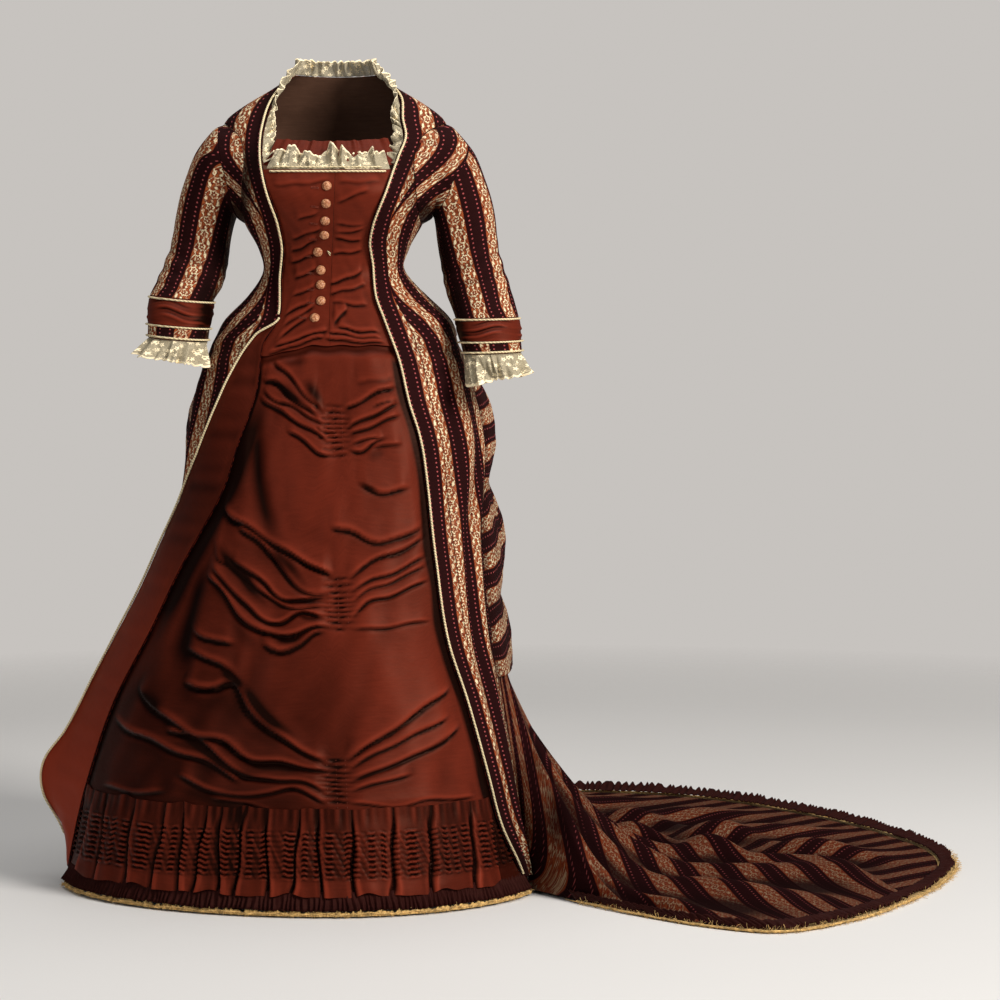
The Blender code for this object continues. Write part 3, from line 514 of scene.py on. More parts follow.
class Tree:
    """Short hands for building one node tree."""

    def __init__(self, tree):
        self.tree = tree

    def put(self, socket, value):
        if isinstance(value, bpy.types.NodeSocket):
            self.tree.links.new(value, socket)
        else:
            socket.default_value = value

    def node(self, kind, values=None, **settings):
        made = self.tree.nodes.new(kind)
        for key, value in settings.items():
            setattr(made, key, value)
        for key, value in (values or {}).items():
            self.put(made.inputs[key], value)
        return made

    def math(self, operation, a, b=0.0, c=0.0):
        made = self.node("ShaderNodeMath", operation=operation)
        for socket, value in zip(made.inputs, (a, b, c)):
            self.put(socket, value)
        return made.outputs[0]

    def add(self, a, b):
        return self.math("ADD", a, b)

    def sub(self, a, b):
        return self.math("SUBTRACT", a, b)

    def mul(self, a, b):
        return self.math("MULTIPLY", a, b)

    def div(self, a, b):
        return self.math("DIVIDE", a, b)

    def size(self, a):
        return self.math("ABSOLUTE", a)

    def most(self, a, b):
        return self.math("MAXIMUM", a, b)

    def least(self, a, b):
        return self.math("MINIMUM", a, b)

    def distance(self, a, b, weight=None):
        """Root of two squares added; weight makes the second one count more or less."""
        first, second = self.math("POWER", a, 2.0), self.math("POWER", b, 2.0)
        return self.math("SQRT", self.add(first, second if weight is None else self.mul(second, weight)))

    def centred(self, value, pitch):
        """Metres from the middle of the repeat that a value falls in."""
        return self.mul(self.sub(self.math("FRACT", value), 0.5), pitch)

    def split(self, vector):
        return self.node("ShaderNodeSeparateXYZ", {"Vector": vector}).outputs

    def place(self):
        return self.node("ShaderNodeTexCoord").outputs["Object"]

    def uv(self, name):
        return self.node("ShaderNodeUVMap", uv_map=name).outputs["UV"]

    def attribute(self, name):
        return self.node("ShaderNodeAttribute", attribute_name=name).outputs["Fac"]

    def stretch(self, vector, amount):
        made = self.node("ShaderNodeVectorMath", operation="SCALE")
        self.put(made.inputs[0], vector)
        self.put(made.inputs["Scale"], amount)
        return made.outputs[0]

    def choose(self, share, a, b):
        """Number a, turning into b with the share."""
        made = self.node("ShaderNodeMix", data_type="FLOAT")
        for index, value in ((0, share), (2, a), (3, b)):
            self.put(made.inputs[index], value)
        return made.outputs[0]

    def vector(self, operation, a, b=(0.0, 0.0, 0.0), out=0):
        made = self.node("ShaderNodeVectorMath", operation=operation)
        self.put(made.inputs[0], a)
        self.put(made.inputs[1], b)
        return made.outputs[out]

    def inside(self, distance, limit, soft):
        """1 where distance is under limit, falling to 0 over soft."""
        gap = self.math("DIVIDE", self.math("SUBTRACT", limit, distance), soft)
        made = self.node("ShaderNodeMath", operation="ADD", use_clamp=True)
        self.put(made.inputs[0], gap)
        self.put(made.inputs[1], 0.5)
        return made.outputs[0]

    def mix(self, share, a, b):
        made = self.node("ShaderNodeMix", data_type="RGBA")
        self.put(made.inputs[0], share)
        self.put(made.inputs[6], a)
        self.put(made.inputs[7], b)
        return made.outputs[2]

    def noise(self, vector, scale, detail=3.0, rough=0.55):
        made = self.node("ShaderNodeTexNoise", {"Vector": vector, "Scale": scale})
        made.inputs["Detail"].default_value = detail
        made.inputs["Roughness"].default_value = rough
        return made.outputs["Fac"]

    def ramp(self, value, low, high, to_low=0.0, to_high=1.0):
        made = self.node("ShaderNodeMapRange", {"Value": value})
        for key, number in zip(("From Min", "From Max", "To Min", "To Max"), (low, high, to_low, to_high)):
            made.inputs[key].default_value = number
        return made.outputs["Result"]


def colour(value):
    return (value[0], value[1], value[2], 1.0)


def shader_group(name, inputs, outputs):
    """New shader group with named sockets; returns its tree, inputs and outputs."""
    tree = bpy.data.node_groups.new(name, "ShaderNodeTree")
    for label, kind, value in inputs:
        socket = tree.interface.new_socket(label, in_out="INPUT", socket_type="NodeSocket" + kind)
        if value is not None:
            socket.default_value = value
    for label, kind in outputs:
        tree.interface.new_socket(label, in_out="OUTPUT", socket_type="NodeSocket" + kind)
    start = tree.nodes.new("NodeGroupInput")
    end = tree.nodes.new("NodeGroupOutput")
    return Tree(tree), start.outputs, end.inputs


def silk_threads_group():
    """Fine weft ribs and uneven streaks of a silk weave."""
    t, get, give = shader_group(
        "silk_threads",
        [("Cloth", "Vector", None), ("Rib", "Float", 0.0011), ("Unevenness", "Float", 0.5)],
        [("Height", "Float"), ("Streak", "Float")])
    parts = t.split(get["Cloth"])
    phase = t.div(parts["Y"], get["Rib"])
    rib = t.math("SINE", t.mul(phase, math.tau))
    streaks = t.vector("MULTIPLY", get["Cloth"], (26.0, 270.0, 1.0))
    uneven = t.noise(streaks, 1.0, 5.0, 0.68)
    t.put(give["Streak"], uneven)
    height = t.mul(uneven, get["Unevenness"])
    t.put(give["Height"], t.math("MULTIPLY_ADD", rib, 0.12, height))
    return t.tree


def dye_change_and_hem_shade_group():
    """Slow change of tone over the cloth, as old dye has, and painted shade that darkens it towards the
    hem.
    """
    t, get, give = shader_group(
        "dye_change_and_hem_shade",
        [("Colour", "Color", None), ("Place", "Vector", None), ("Streak", "Float", 0.5),
         ("Patch Scale", "Float", 7.0), ("Amount", "Float", 0.25)],
        [("Colour", "Color")])
    patches = t.noise(get["Place"], get["Patch Scale"], 4.0, 0.6)
    fine = t.noise(get["Place"], t.mul(get["Patch Scale"], 9.0), 3.0, 0.6)
    sum_of = t.add(t.mul(patches, 1.1), t.mul(fine, 0.35))
    sum_of = t.add(sum_of, t.mul(get["Streak"], 1.40))
    change = t.mul(t.sub(sum_of, 1.425), get["Amount"])
    parts = t.split(get["Place"])
    # Painted shade: darker towards the hem, down to 0.62 of the colour near the floor.
    hem = t.ramp(parts["Z"], -1.335, -1.05, 0.62, 1.0)
    scale = t.mul(t.add(change, 1.0), hem)
    t.put(give["Colour"], t.stretch(get["Colour"], scale))
    return t.tree


def crumple_group():
    """Soft small crumples between the modelled folds."""
    t, get, give = shader_group(
        "crumple", [("Place", "Vector", None), ("Size", "Float", 0.03)], [("Height", "Float")])
    scale = t.div(1.0, get["Size"])
    drawn = t.vector("MULTIPLY", get["Place"], (1.0, 1.0, 1.9))
    broad = t.noise(drawn, scale, 2.0, 0.5)
    ridge = t.size(t.sub(t.noise(drawn, t.mul(scale, 2.3), 2.0, 0.5), 0.5))
    t.put(give["Height"], t.sub(broad, t.mul(ridge, 0.8)))
    return t.tree


def stripe_group():
    """Velvet bands with two rows of dots between brocade bands of small blossoms."""
    t, get, give = shader_group(
        "velvet_and_brocade",
        [("Cloth", "Vector", None), ("Beyond", "Vector", None), ("Seam", "Float", -1.0),
         ("Period", "Float", 0.062), ("Velvet Share", "Float", 0.5), ("Dot Step", "Float", 0.0072),
         ("Repeat", "Float", 0.024), ("Velvet", "Color", None), ("Dots", "Color", None),
         ("Ground", "Color", None), ("Blossom", "Color", None), ("Outline", "Color", None)],
        [("Colour", "Color"), ("Velvet", "Float"), ("Height", "Float")])
    dot_row, dot_half, dot_tall = 0.28, 0.0014, 1.3
    flower, petal_deep, petal_count = 0.0054, 0.0009, 6.0
    leaf_row, leaf_tall, vine_row, vine_sway = 0.0098, 0.45, 0.0102, 0.0025
    past = t.math("GREATER_THAN", get["Seam"], 0.0)
    gap = t.vector("SUBTRACT", get["Beyond"], get["Cloth"])
    place = t.vector("ADD", get["Cloth"], t.stretch(gap, past))
    parts = t.split(place)
    wobble = t.mul(t.sub(t.noise(place, 90.0, 2.0), 0.5), 0.0012)
    x = t.add(parts["X"], wobble)
    y = parts["Y"]
    band = t.div(x, get["Period"])
    turn = t.math("FRACT", band)
    number = t.math("FLOOR", band)
    share = get["Velvet Share"]
    velvet = t.math("LESS_THAN", turn, share)
    wide = t.mul(share, get["Period"])
    from_middle = t.size(t.sub(t.div(turn, share), 0.5))
    dot_x = t.mul(t.sub(from_middle, dot_row), wide)
    dot_y = t.centred(t.div(y, get["Dot Step"]), get["Dot Step"])
    dot_r = t.distance(dot_x, dot_y, dot_tall)
    dot = t.inside(dot_r, dot_half, 0.0008)
    pile = t.noise(place, 420.0, 2.0)
    velvet_colour = t.mix(t.mul(pile, 0.5), get["Velvet"], t.mix(0.05, get["Velvet"], get["Dots"]))
    velvet_colour = t.mix(dot, velvet_colour, get["Dots"])
    rest = t.div(t.sub(turn, share), t.sub(1.0, share))
    brocade_wide = t.sub(get["Period"], wide)
    a = t.mul(t.sub(rest, 0.5), brocade_wide)
    shift = t.math("FRACT", t.mul(number, 0.37))
    run = t.add(t.div(y, get["Repeat"]), shift)
    b = t.centred(run, get["Repeat"])
    r = t.distance(a, b)
    angle = t.math("ARCTAN2", a, b)
    petals = t.mul(t.math("COSINE", t.mul(angle, petal_count)), petal_deep)
    ring = t.size(t.sub(r, t.add(petals, flower)))
    b2 = t.centred(t.add(run, 0.5), get["Repeat"])
    edge_x = t.sub(t.size(a), leaf_row)
    leaf = t.distance(edge_x, b2, leaf_tall)
    bud = t.distance(a, b2)
    sway = t.mul(t.math("SINE", t.mul(run, math.tau)), vine_sway)
    vine = t.size(t.sub(t.size(t.add(a, sway)), vine_row))
    broken = t.noise(place, 330.0, 3.0, 0.65)
    thread = t.mul(t.sub(broken, 0.5), 0.0052)
    nearest = t.sub(ring, 0.0012)
    for part, half in ((leaf, 0.0026), (bud, 0.0022), (r, 0.0014), (vine, 0.0006)):
        nearest = t.least(nearest, t.sub(part, half))
    nearest = t.add(nearest, thread)
    bloom = t.inside(nearest, 0.0, 0.0010)
    halo = t.inside(nearest, 0.0012, 0.0010)
    speckle = t.ramp(t.noise(place, 150.0, 3.0), 0.35, 0.65)
    ground = t.mix(speckle, get["Ground"], t.mix(0.55, get["Ground"], get["Outline"]))
    cells = t.node("ShaderNodeTexVoronoi", {"Vector": place, "Scale": 360.0}, feature="F1")
    flick = t.split(cells.outputs["Color"])["X"]
    ground = t.mix(t.ramp(flick, 0.80, 0.86), ground, get["Outline"])
    brocade = t.mix(t.mul(halo, 0.80), ground, get["Outline"])
    bright = t.mix(t.ramp(flick, 0.34, 0.46), t.mix(0.72, get["Blossom"], get["Ground"]), get["Blossom"])
    brocade = t.mix(bloom, brocade, bright)
    border = t.size(t.sub(t.size(a), t.mul(brocade_wide, 0.5)))
    brocade = t.mix(t.inside(border, 0.0008, 0.0006), brocade, get["Outline"])
    result = t.mix(velvet, brocade, velvet_colour)
    away = t.size(get["Seam"])
    step = t.math("GREATER_THAN", t.vector("LENGTH", gap, out=1), 0.0008)
    stitched = t.mul(t.inside(away, 0.0007, 0.0006), step)
    result = t.mix(t.mul(stitched, 0.85), result, get["Velvet"])
    t.put(give["Colour"], result)
    t.put(give["Velvet"], velvet)
    raised = t.mul(bloom, 0.7)
    brocade_height = t.sub(raised, 0.6)
    velvet_height = t.add(t.mul(dot, -0.6), t.mul(pile, 0.5))
    mixed = t.choose(velvet, brocade_height, velvet_height)
    t.put(give["Height"], t.sub(mixed, stitched))
    return t.tree


def lace_group():
    """Net with worked blossoms and a firm edge."""
    t, get, give = shader_group(
        "lace_work",
        [("Cloth", "Vector", None), ("Blossom Size", "Float", 0.0095), ("Net Size", "Float", 0.0021),
         ("Drop", "Float", 0.5)],
        [("Cover", "Float"), ("Worked", "Float"), ("Height", "Float")])
    scale = t.div(1.0, get["Blossom Size"])
    cells = t.node("ShaderNodeTexVoronoi", {"Vector": get["Cloth"], "Scale": scale}, feature="F1")
    offset = t.vector("SUBTRACT", get["Cloth"], cells.outputs["Position"])
    away = t.split(offset)
    angle = t.math("ARCTAN2", away["X"], away["Y"])
    petal = t.mul(t.math("COSINE", t.mul(angle, 5.0)), 0.12)
    blossom = t.inside(cells.outputs["Distance"], t.add(petal, 0.38), 0.08)
    eye = t.inside(cells.outputs["Distance"], 0.11, 0.06)
    net = t.node("ShaderNodeTexVoronoi", {"Vector": get["Cloth"]}, feature="DISTANCE_TO_EDGE")
    t.put(net.inputs["Scale"], t.div(1.0, get["Net Size"]))
    threads = t.inside(net.outputs["Distance"], 0.13, 0.08)
    edge = t.ramp(get["Drop"], 0.905, 0.935)
    worked = t.most(t.sub(blossom, eye), edge)
    t.put(give["Cover"], t.most(worked, t.math("MULTIPLY_ADD", threads, 0.35, 0.60)))
    t.put(give["Worked"], worked)
    t.put(give["Height"], t.add(worked, t.mul(threads, 0.3)))
    return t.tree


GROUPS = {}


def group_node(t, name, values):
    """Place a shared shader group, building it the first time."""
    makers = {"silk_threads": silk_threads_group, "dye_change_and_hem_shade": dye_change_and_hem_shade_group, "crumple": crumple_group,
              "velvet_and_brocade": stripe_group, "lace_work": lace_group}
    if name not in GROUPS:
        GROUPS[name] = makers[name]()
    made = t.tree.nodes.new("ShaderNodeGroup")
    made.node_tree = GROUPS[name]
    for key, value in values.items():
        t.put(made.inputs[key], value)
    return made.outputs


def finish_of(name, roughness, sheen=0.0, sheen_tint=(1.0, 1.0, 1.0), specular=0.5, gleam=(1.0, 1.0, 1.0)):
    """New material with its constant finish set on the shader's own sockets."""
    look = bpy.data.materials.new(name)
    look.use_nodes = True
    shader = look.node_tree.nodes["Principled BSDF"]
    shader.inputs["Roughness"].default_value = roughness
    shader.inputs["Specular IOR Level"].default_value = specular
    shader.inputs["Specular Tint"].default_value = colour(gleam)
    shader.inputs["Sheen Weight"].default_value = sheen
    shader.inputs["Sheen Roughness"].default_value = 0.45
    shader.inputs["Sheen Tint"].default_value = colour(sheen_tint)
    return look, Tree(look.node_tree), shader.inputs


def bump(t, surface, layers):
    """Stack bump layers of (height socket, metres, strength) on a surface."""
    normal = None
    for height, metres, strength in layers:
        made = t.node("ShaderNodeBump", {"Height": height, "Distance": metres, "Strength": strength})
        if normal is not None:
            t.put(made.inputs["Normal"], normal)
        normal = made.outputs["Normal"]
    t.put(surface["Normal"], normal)


def tinted(dye, amount):
    return colour([part * amount for part in dye])


def dyed_with_hem_shade(t, base, place, streak, scale, amount):
    """Base colour with the slow change of old dye, and painted shade darker towards the hem."""
    values = {"Colour": base, "Place": place, "Streak": streak, "Patch Scale": scale, "Amount": amount}
    return group_node(t, "dye_change_and_hem_shade", values)["Colour"]


def silk_look(name, dye, roughness, sheen, tint, patches=7.0, crumples=0.045, crumple_depth=0.0005):
    """Plain silk: slubbed weave, uneven dye, and painted shade and highlight from the shade attribute,
    darker down in its folds.
    """
    look, t, surface = finish_of(name, roughness, sheen, tint, 0.12, (1.0, 0.42, 0.28))
    cloth_map = t.uv("cloth")
    place = t.place()
    threads = group_node(t, "silk_threads", {"Cloth": cloth_map})
    drift = dyed_with_hem_shade(t, colour(dye), place, threads["Streak"], patches, 0.45)
    # Painted shade from the shade attribute darkens the colour towards deep; below zero it paints a
    # highlight, a lit copy of the dye.
    shade = t.attribute("shade")
    deep = tinted(dye, 0.03)
    sunk = t.most(shade, 0.0)
    bent = t.math("MULTIPLY_ADD", t.mul(sunk, sunk), 0.35, 0.80)
    dark = t.least(t.mul(sunk, bent), 1.0)
    lit = t.mix(t.mul(t.most(t.mul(shade, -1.0), 0.0), 0.75), drift, tinted(dye, 1.9))
    t.put(surface["Base Color"], t.mix(dark, lit, deep))
    t.put(surface["Roughness"], t.ramp(threads["Streak"], 0.2, 0.8, roughness - 0.05, roughness + 0.07))
    crumple = group_node(t, "crumple", {"Place": place, "Size": crumples})
    bump(t, surface, [(crumple["Height"], crumple_depth, 1.0), (threads["Height"], 0.00012, 0.7)])
    return look


def striped_look(name, sizes, colours, second_map, shade_dim=1.0):
    """Striped cloth; a last value below 1 paints it darker as shade, with duller blossoms, and a second map
    takes over past a seam.
    """
    # Below 1 the last value is painted shade: dots, ground and blossoms darker, the blossoms also mixed
    # towards the ground.
    blossom_colour = [part if shade_dim == 1.0 else shade_dim * (0.45 * part + 0.55 * under)
             for part, under in zip(colours.blossom, colours.brocade)]
    look, t, surface = finish_of(name, 0.6, 0.0, specular=0.10 * shade_dim, gleam=(1.0, 0.7, 0.55))
    first = t.uv("cloth")
    place = t.place()
    values = {"Cloth": first, "Period": sizes.stripe_period, "Velvet Share": sizes.velvet_share,
              "Dot Step": sizes.dot_step, "Repeat": sizes.blossom_repeat,
              "Velvet": colour(colours.velvet), "Dots": tinted(colours.dots, shade_dim),
              "Ground": tinted(colours.brocade, shade_dim), "Blossom": colour(blossom_colour),
              "Outline": colour(colours.outline)}
    if second_map:
        values["Beyond"] = t.uv("beyond")
        values["Seam"] = t.attribute("seam")
    else:
        values["Beyond"] = first
    bands = group_node(t, "velvet_and_brocade", values)
    threads = group_node(t, "silk_threads", {"Cloth": first})
    drift = dyed_with_hem_shade(t, bands["Colour"], place, threads["Streak"], 9.0, 0.40)
    # Painted shade from the shade attribute darkens the bands towards dark velvet.
    shade = t.attribute("shade")
    dark = tinted(colours.velvet, 0.5)
    t.put(surface["Base Color"], t.mix(t.mul(t.most(shade, 0.0), 0.93), drift, dark))
    t.put(surface["Roughness"], t.ramp(bands["Velvet"], 0.0, 1.0, 0.46, 0.88))
    crumple = group_node(t, "crumple", {"Place": place, "Size": 0.030})
    bump(t, surface, [(crumple["Height"], 0.0008, 1.0), (bands["Height"], 0.0005, 1.0),
                      (threads["Height"], 0.0001, 0.5)])
    return look


def lace_look(name, dye):
    """Cotton lace: holes in the net, darker between the worked flowers."""
    look, t, surface = finish_of(name, 0.8, 0.15, (1.0, 0.92, 0.75), 0.2)
    cloth_map = t.uv("cloth")
    place = t.place()
    drop = t.attribute("drop")
    work = group_node(t, "lace_work", {"Cloth": cloth_map, "Drop": drop})
    base = t.mix(work["Worked"], tinted(dye, 0.62), colour(dye))
    t.put(surface["Base Color"], dyed_with_hem_shade(t, base, place, work["Worked"], 20.0, 0.30))
    t.put(surface["Alpha"], work["Cover"])
    bump(t, surface, [(work["Height"], 0.0008, 1.0)])
    return look


def cord_look(name, dye):
    """Silk-covered cord: slanting wraps of thread."""
    look, t, surface = finish_of(name, 0.5, 0.3, (1.0, 0.95, 0.85))
    place = t.place()
    slant = t.vector("DOT_PRODUCT", place, (900.0, 700.0, 1400.0), out=1)
    wraps = t.math("SINE", slant)
    t.put(surface["Base Color"], dyed_with_hem_shade(t, colour(dye), place, t.ramp(wraps, -1.0, 1.0), 25.0, 0.45))
    bump(t, surface, [(wraps, 0.0003, 0.7)])
    return look


def button_look(name, dye, gleam):
    """Brocade dome: raised threads in short swirls."""
    look, t, surface = finish_of(name, 0.42, 0.2, (1.0, 0.7, 0.5))
    place = t.place()
    swirl = t.node("ShaderNodeTexVoronoi", {"Vector": place, "Scale": 420.0}, feature="SMOOTH_F1")
    knots = t.ramp(swirl.outputs["Distance"], 0.15, 0.6)
    # The raised knots take the lighter gleam colour: lighter thread, with a painted glint in it.
    t.put(surface["Base Color"], t.mix(knots, colour(gleam), colour(dye)))
    bump(t, surface, [(t.sub(1.0, knots), 0.0005, 1.0)])
    return look


def fray_look(name, dye):
    """Loose cotton threads, uneven in colour."""
    look, t, surface = finish_of(name, 0.85, 0.3, (1.0, 0.85, 0.6), 0.2)
    place = t.place()
    tufts = t.ramp(t.noise(place, 120.0, 3.0), 0.35, 0.7)
    t.put(surface["Base Color"], t.mix(tufts, tinted(dye, 0.55), colour([min(1.0, c * 1.35) for c in dye])))
    bump(t, surface, [(t.noise(place, 600.0, 3.0), 0.0007, 1.0)])
    return look


LOOKS = {}


def look_of(name):
    """A material by its plain name, built the first time with the panel's colours."""
    if name in LOOKS:
        return LOOKS[name]
    c = bpy.context.scene.dress_colours
    s = bpy.context.scene.dress_sizes
    makers = {
        "rust_silk": lambda: silk_look(name, c.rust, 0.44, 0.02, RUST_SHEEN),
        # The revers is the rust silk painted 1.45 times lighter, painted light falling on it.
        "revers_silk": lambda: silk_look(name, [part * 1.45 for part in c.rust], 0.48, 0.02, RUST_SHEEN,
                                         5.0),
        "plum_silk": lambda: silk_look(name, c.plum, 0.60, 0.02, (0.7, 0.3, 0.3), 14.0, 0.012, 0.0006),
        "lining": lambda: silk_look(name, c.lining, 0.85, 0.0, (1.0, 1.0, 1.0), 9.0),
        "striped_cloth": lambda: striped_look(name, s, c, False),
        "striped_seamed_cloth": lambda: striped_look(name, s, c, True),
        "striped_train_cloth": lambda: striped_look(name, s, c, True, c.train_shade),
        "lace": lambda: lace_look(name, c.lace),
        "cream_cord": lambda: cord_look(name, c.piping),
        "copper_brocade": lambda: button_look(name, c.copper, (0.78, 0.40, 0.20)),
        "rust_thread": lambda: fray_look(name, [min(1.0, 1.7 * part) for part in c.rust]),
        "cream_thread": lambda: fray_look(name, c.piping),
        "gold_cotton": lambda: fray_look(name, c.gold),
    }
    LOOKS[name] = makers[name]()
    return LOOKS[name]


class Growth(Tree):
    """Short hands for a Geometry Nodes tree: named inputs, then one mesh out."""

    def __init__(self, name, **inputs):
        tree = bpy.data.node_groups.new(name, "GeometryNodeTree")
        tree.interface.new_socket("Geometry", in_out="INPUT", socket_type="NodeSocketGeometry")
        for label, value in inputs.items():
            socket = tree.interface.new_socket(label, in_out="INPUT", socket_type="NodeSocketFloat")
            socket.default_value = value
        tree.interface.new_socket("Material", in_out="INPUT", socket_type="NodeSocketMaterial")
        tree.interface.new_socket("Geometry", in_out="OUTPUT", socket_type="NodeSocketGeometry")
        super().__init__(tree)
        self.get = tree.nodes.new("NodeGroupInput").outputs
        self.give = tree.nodes.new("NodeGroupOutput").inputs

    def smooth(self, geometry):
        return self.node("GeometryNodeSetShadeSmooth", {"Geometry": geometry}).outputs[0]

    def end(self, geometry):
        real = self.node("GeometryNodeRealizeInstances", {"Geometry": geometry})
        dressed = self.node("GeometryNodeSetMaterial", {"Geometry": real.outputs[0]})
        self.put(dressed.inputs["Material"], self.get["Material"])
        self.put(self.give["Geometry"], dressed.outputs[0])
        return self.tree

    def mark(self, name, kind):
        made = self.node("GeometryNodeInputNamedAttribute", data_type=kind)
        made.inputs["Name"].default_value = name
        return made.outputs["Attribute"]

    def random(self, low, high, seed, kind="FLOAT"):
        made = self.node("FunctionNodeRandomValue", data_type=kind)
        live = [socket for socket in made.inputs if socket.enabled]
        by_name = {socket.name: socket for socket in live}
        by_name["Min"].default_value = low
        by_name["Max"].default_value = high
        by_name["Seed"].default_value = seed
        return next(socket for socket in made.outputs if socket.enabled)

    def moved(self, geometry, **where):
        return self.node("GeometryNodeSetPosition", {"Geometry": geometry, **where}).outputs[0]

    def copies(self, points, instance, **turn):
        values = {"Points": points, "Instance": instance, **turn}
        return self.node("GeometryNodeInstanceOnPoints", values).outputs[0]

    def aim(self, vector, axis="Z", rotation=None):
        made = self.node("FunctionNodeAlignRotationToVector", {"Vector": vector}, axis=axis)
        if rotation is not None:
            self.put(made.inputs["Rotation"], rotation)
        return made.outputs[0]

    def tube(self, path, radius, sides):
        circle = self.node("GeometryNodeCurvePrimitiveCircle", {"Radius": radius, "Resolution": sides})
        made = self.node("GeometryNodeCurveToMesh", {"Curve": path, "Profile Curve": circle.outputs[0]})
        made.inputs["Fill Caps"].default_value = True
        return made.outputs[0]

    def resampled(self, path, step):
        curve_of = self.node("GeometryNodeMeshToCurve", {"Mesh": path})
        made = self.node("GeometryNodeResampleCurve", {"Curve": curve_of.outputs[0]}, mode="LENGTH")
        self.put(made.inputs["Length"], step)
        return made.outputs[0]


def piping_tree():
    """Round cord along an edge path."""
    g = Growth("corded_piping", Radius=0.0018, Step=0.003, Unevenness=0.0003)
    path = g.resampled(g.get["Geometry"], g.get["Step"])
    place = g.node("GeometryNodeInputPosition").outputs[0]
    drift = g.node("ShaderNodeTexNoise", {"Vector": place, "Scale": 60.0}).outputs["Color"]
    shift = g.stretch(g.vector("SUBTRACT", drift, (0.5, 0.5, 0.5)), g.get["Unevenness"])
    made = g.tube(g.moved(path, Offset=shift), g.get["Radius"], 9)
    return g.end(g.smooth(made))


def button_tree():
    """Covered dome with a gathered rim on each point, turned the way the point faces."""
    g = Growth("domed_buttons", Radius=0.0078, Rise=0.0053)
    ball = g.node("GeometryNodeMeshUVSphere", {"Segments": 28, "Rings": 16, "Radius": 1.0}).outputs[0]
    place = g.node("GeometryNodeInputPosition").outputs[0]
    parts = g.split(place)
    upper = g.most(parts["Z"], -0.30)
    lift = g.mul(g.add(upper, 0.30), 0.77)
    wide = g.add(0.93, g.mul(g.math("COMPARE", parts["Z"], -0.1, 0.12), 0.07))
    across = g.mul(wide, g.get["Radius"])
    joined = g.node("ShaderNodeCombineXYZ", {"X": g.mul(parts["X"], across),
                                             "Y": g.mul(parts["Y"], across),
                                             "Z": g.mul(lift, g.get["Rise"])})
    dome = g.smooth(g.moved(ball, Position=joined.outputs[0]))
    turned = g.aim(g.mark("facing", "FLOAT_VECTOR"))
    return g.end(g.copies(g.get["Geometry"], dome, Rotation=turned))


def frill_tree():
    """Gathers a flat strip: its free edge waves along the way it faces."""
    g = Growth("gathered_frill", Gather=0.009, Swing=0.003, Pressed=0.0, Held=0.35, Unevenness=0.5,
               Seed=1.0)
    run = g.mark("run", "FLOAT")
    drop = g.mark("drop", "FLOAT")
    out = g.mark("out", "FLOAT_VECTOR")
    spot = g.node("ShaderNodeCombineXYZ", {"X": run, "Y": g.mul(drop, 0.01), "Z": g.get["Seed"]})
    slow = g.node("ShaderNodeTexNoise", {"Vector": spot.outputs[0], "Scale": 26.0}).outputs["Fac"]
    drift = g.mul(g.sub(slow, 0.5), g.mul(g.get["Unevenness"], 5.0))
    turn = g.add(g.div(run, g.get["Gather"]), drift)
    wave = g.math("COSINE", g.mul(turn, math.tau))
    saw = g.sub(g.mul(g.math("FRACT", turn), 2.0), 1.0)
    folded = g.choose(g.get["Pressed"], wave, saw)
    size = g.add(0.6, g.mul(slow, 0.8))
    held = g.add(g.get["Held"], g.mul(drop, g.sub(1.0, g.get["Held"])))
    amount = g.mul(g.mul(folded, size), g.mul(held, g.get["Swing"]))
    return g.end(g.smooth(g.moved(g.get["Geometry"], Offset=g.stretch(out, amount))))


def fray_tree():
    """Loose thread ends set close along a path."""
    g = Growth("frayed_threads", Step=0.0015, Length=0.006, Thickness=0.0003, Spread=0.8, Core=0.0014)
    path = g.resampled(g.get["Geometry"], 0.004)
    spaced = g.node("GeometryNodeCurveToPoints", {"Curve": path}, mode="LENGTH")
    g.put(spaced.inputs["Length"], g.get["Step"])
    facing = g.mark("facing", "FLOAT_VECTOR")
    scatter = g.random((-1.0, -1.0, -1.0), (1.0, 1.0, 1.0), 11, "FLOAT_VECTOR")
    way = g.vector("ADD", facing, g.stretch(scatter, g.get["Spread"]))
    arc = g.node("GeometryNodeCurveQuadraticBezier", {"Resolution": 4})
    arc.inputs["Start"].default_value = (0.0, 0.0, -0.25)
    arc.inputs["Middle"].default_value = (0.22, 0.0, 0.5)
    arc.inputs["End"].default_value = (-0.10, 0.12, 1.0)
    thin = g.div(g.get["Thickness"], g.get["Length"])
    strand = g.tube(arc.outputs[0], thin, 3)
    size = g.mul(g.get["Length"], g.random(0.35, 1.25, 7))
    angle = g.random(0.0, 6.28, 5)
    roll = g.node("FunctionNodeAxisAngleToRotation", {"Axis": (0.0, 0.0, 1.0), "Angle": angle})
    rotation = g.node("FunctionNodeRotateRotation", {"Rotation": g.aim(way), "Rotate By": roll.outputs[0]},
                      rotation_space="LOCAL")
    placed = g.copies(spaced.outputs["Points"], strand, Rotation=rotation.outputs[0], Scale=size)
    place = g.node("GeometryNodeInputPosition").outputs[0]
    drift = g.node("ShaderNodeTexNoise", {"Vector": place, "Scale": 45.0}).outputs["Color"]
    shift = g.stretch(g.vector("SUBTRACT", drift, (0.5, 0.5, 0.5)), 0.004)
    core = g.tube(g.moved(path, Offset=shift), g.get["Core"], 6)
    both = g.node("GeometryNodeJoinGeometry")
    g.tree.links.new(placed, both.inputs[0])
    g.tree.links.new(core, both.inputs[0])
    return g.end(g.smooth(both.outputs[0]))


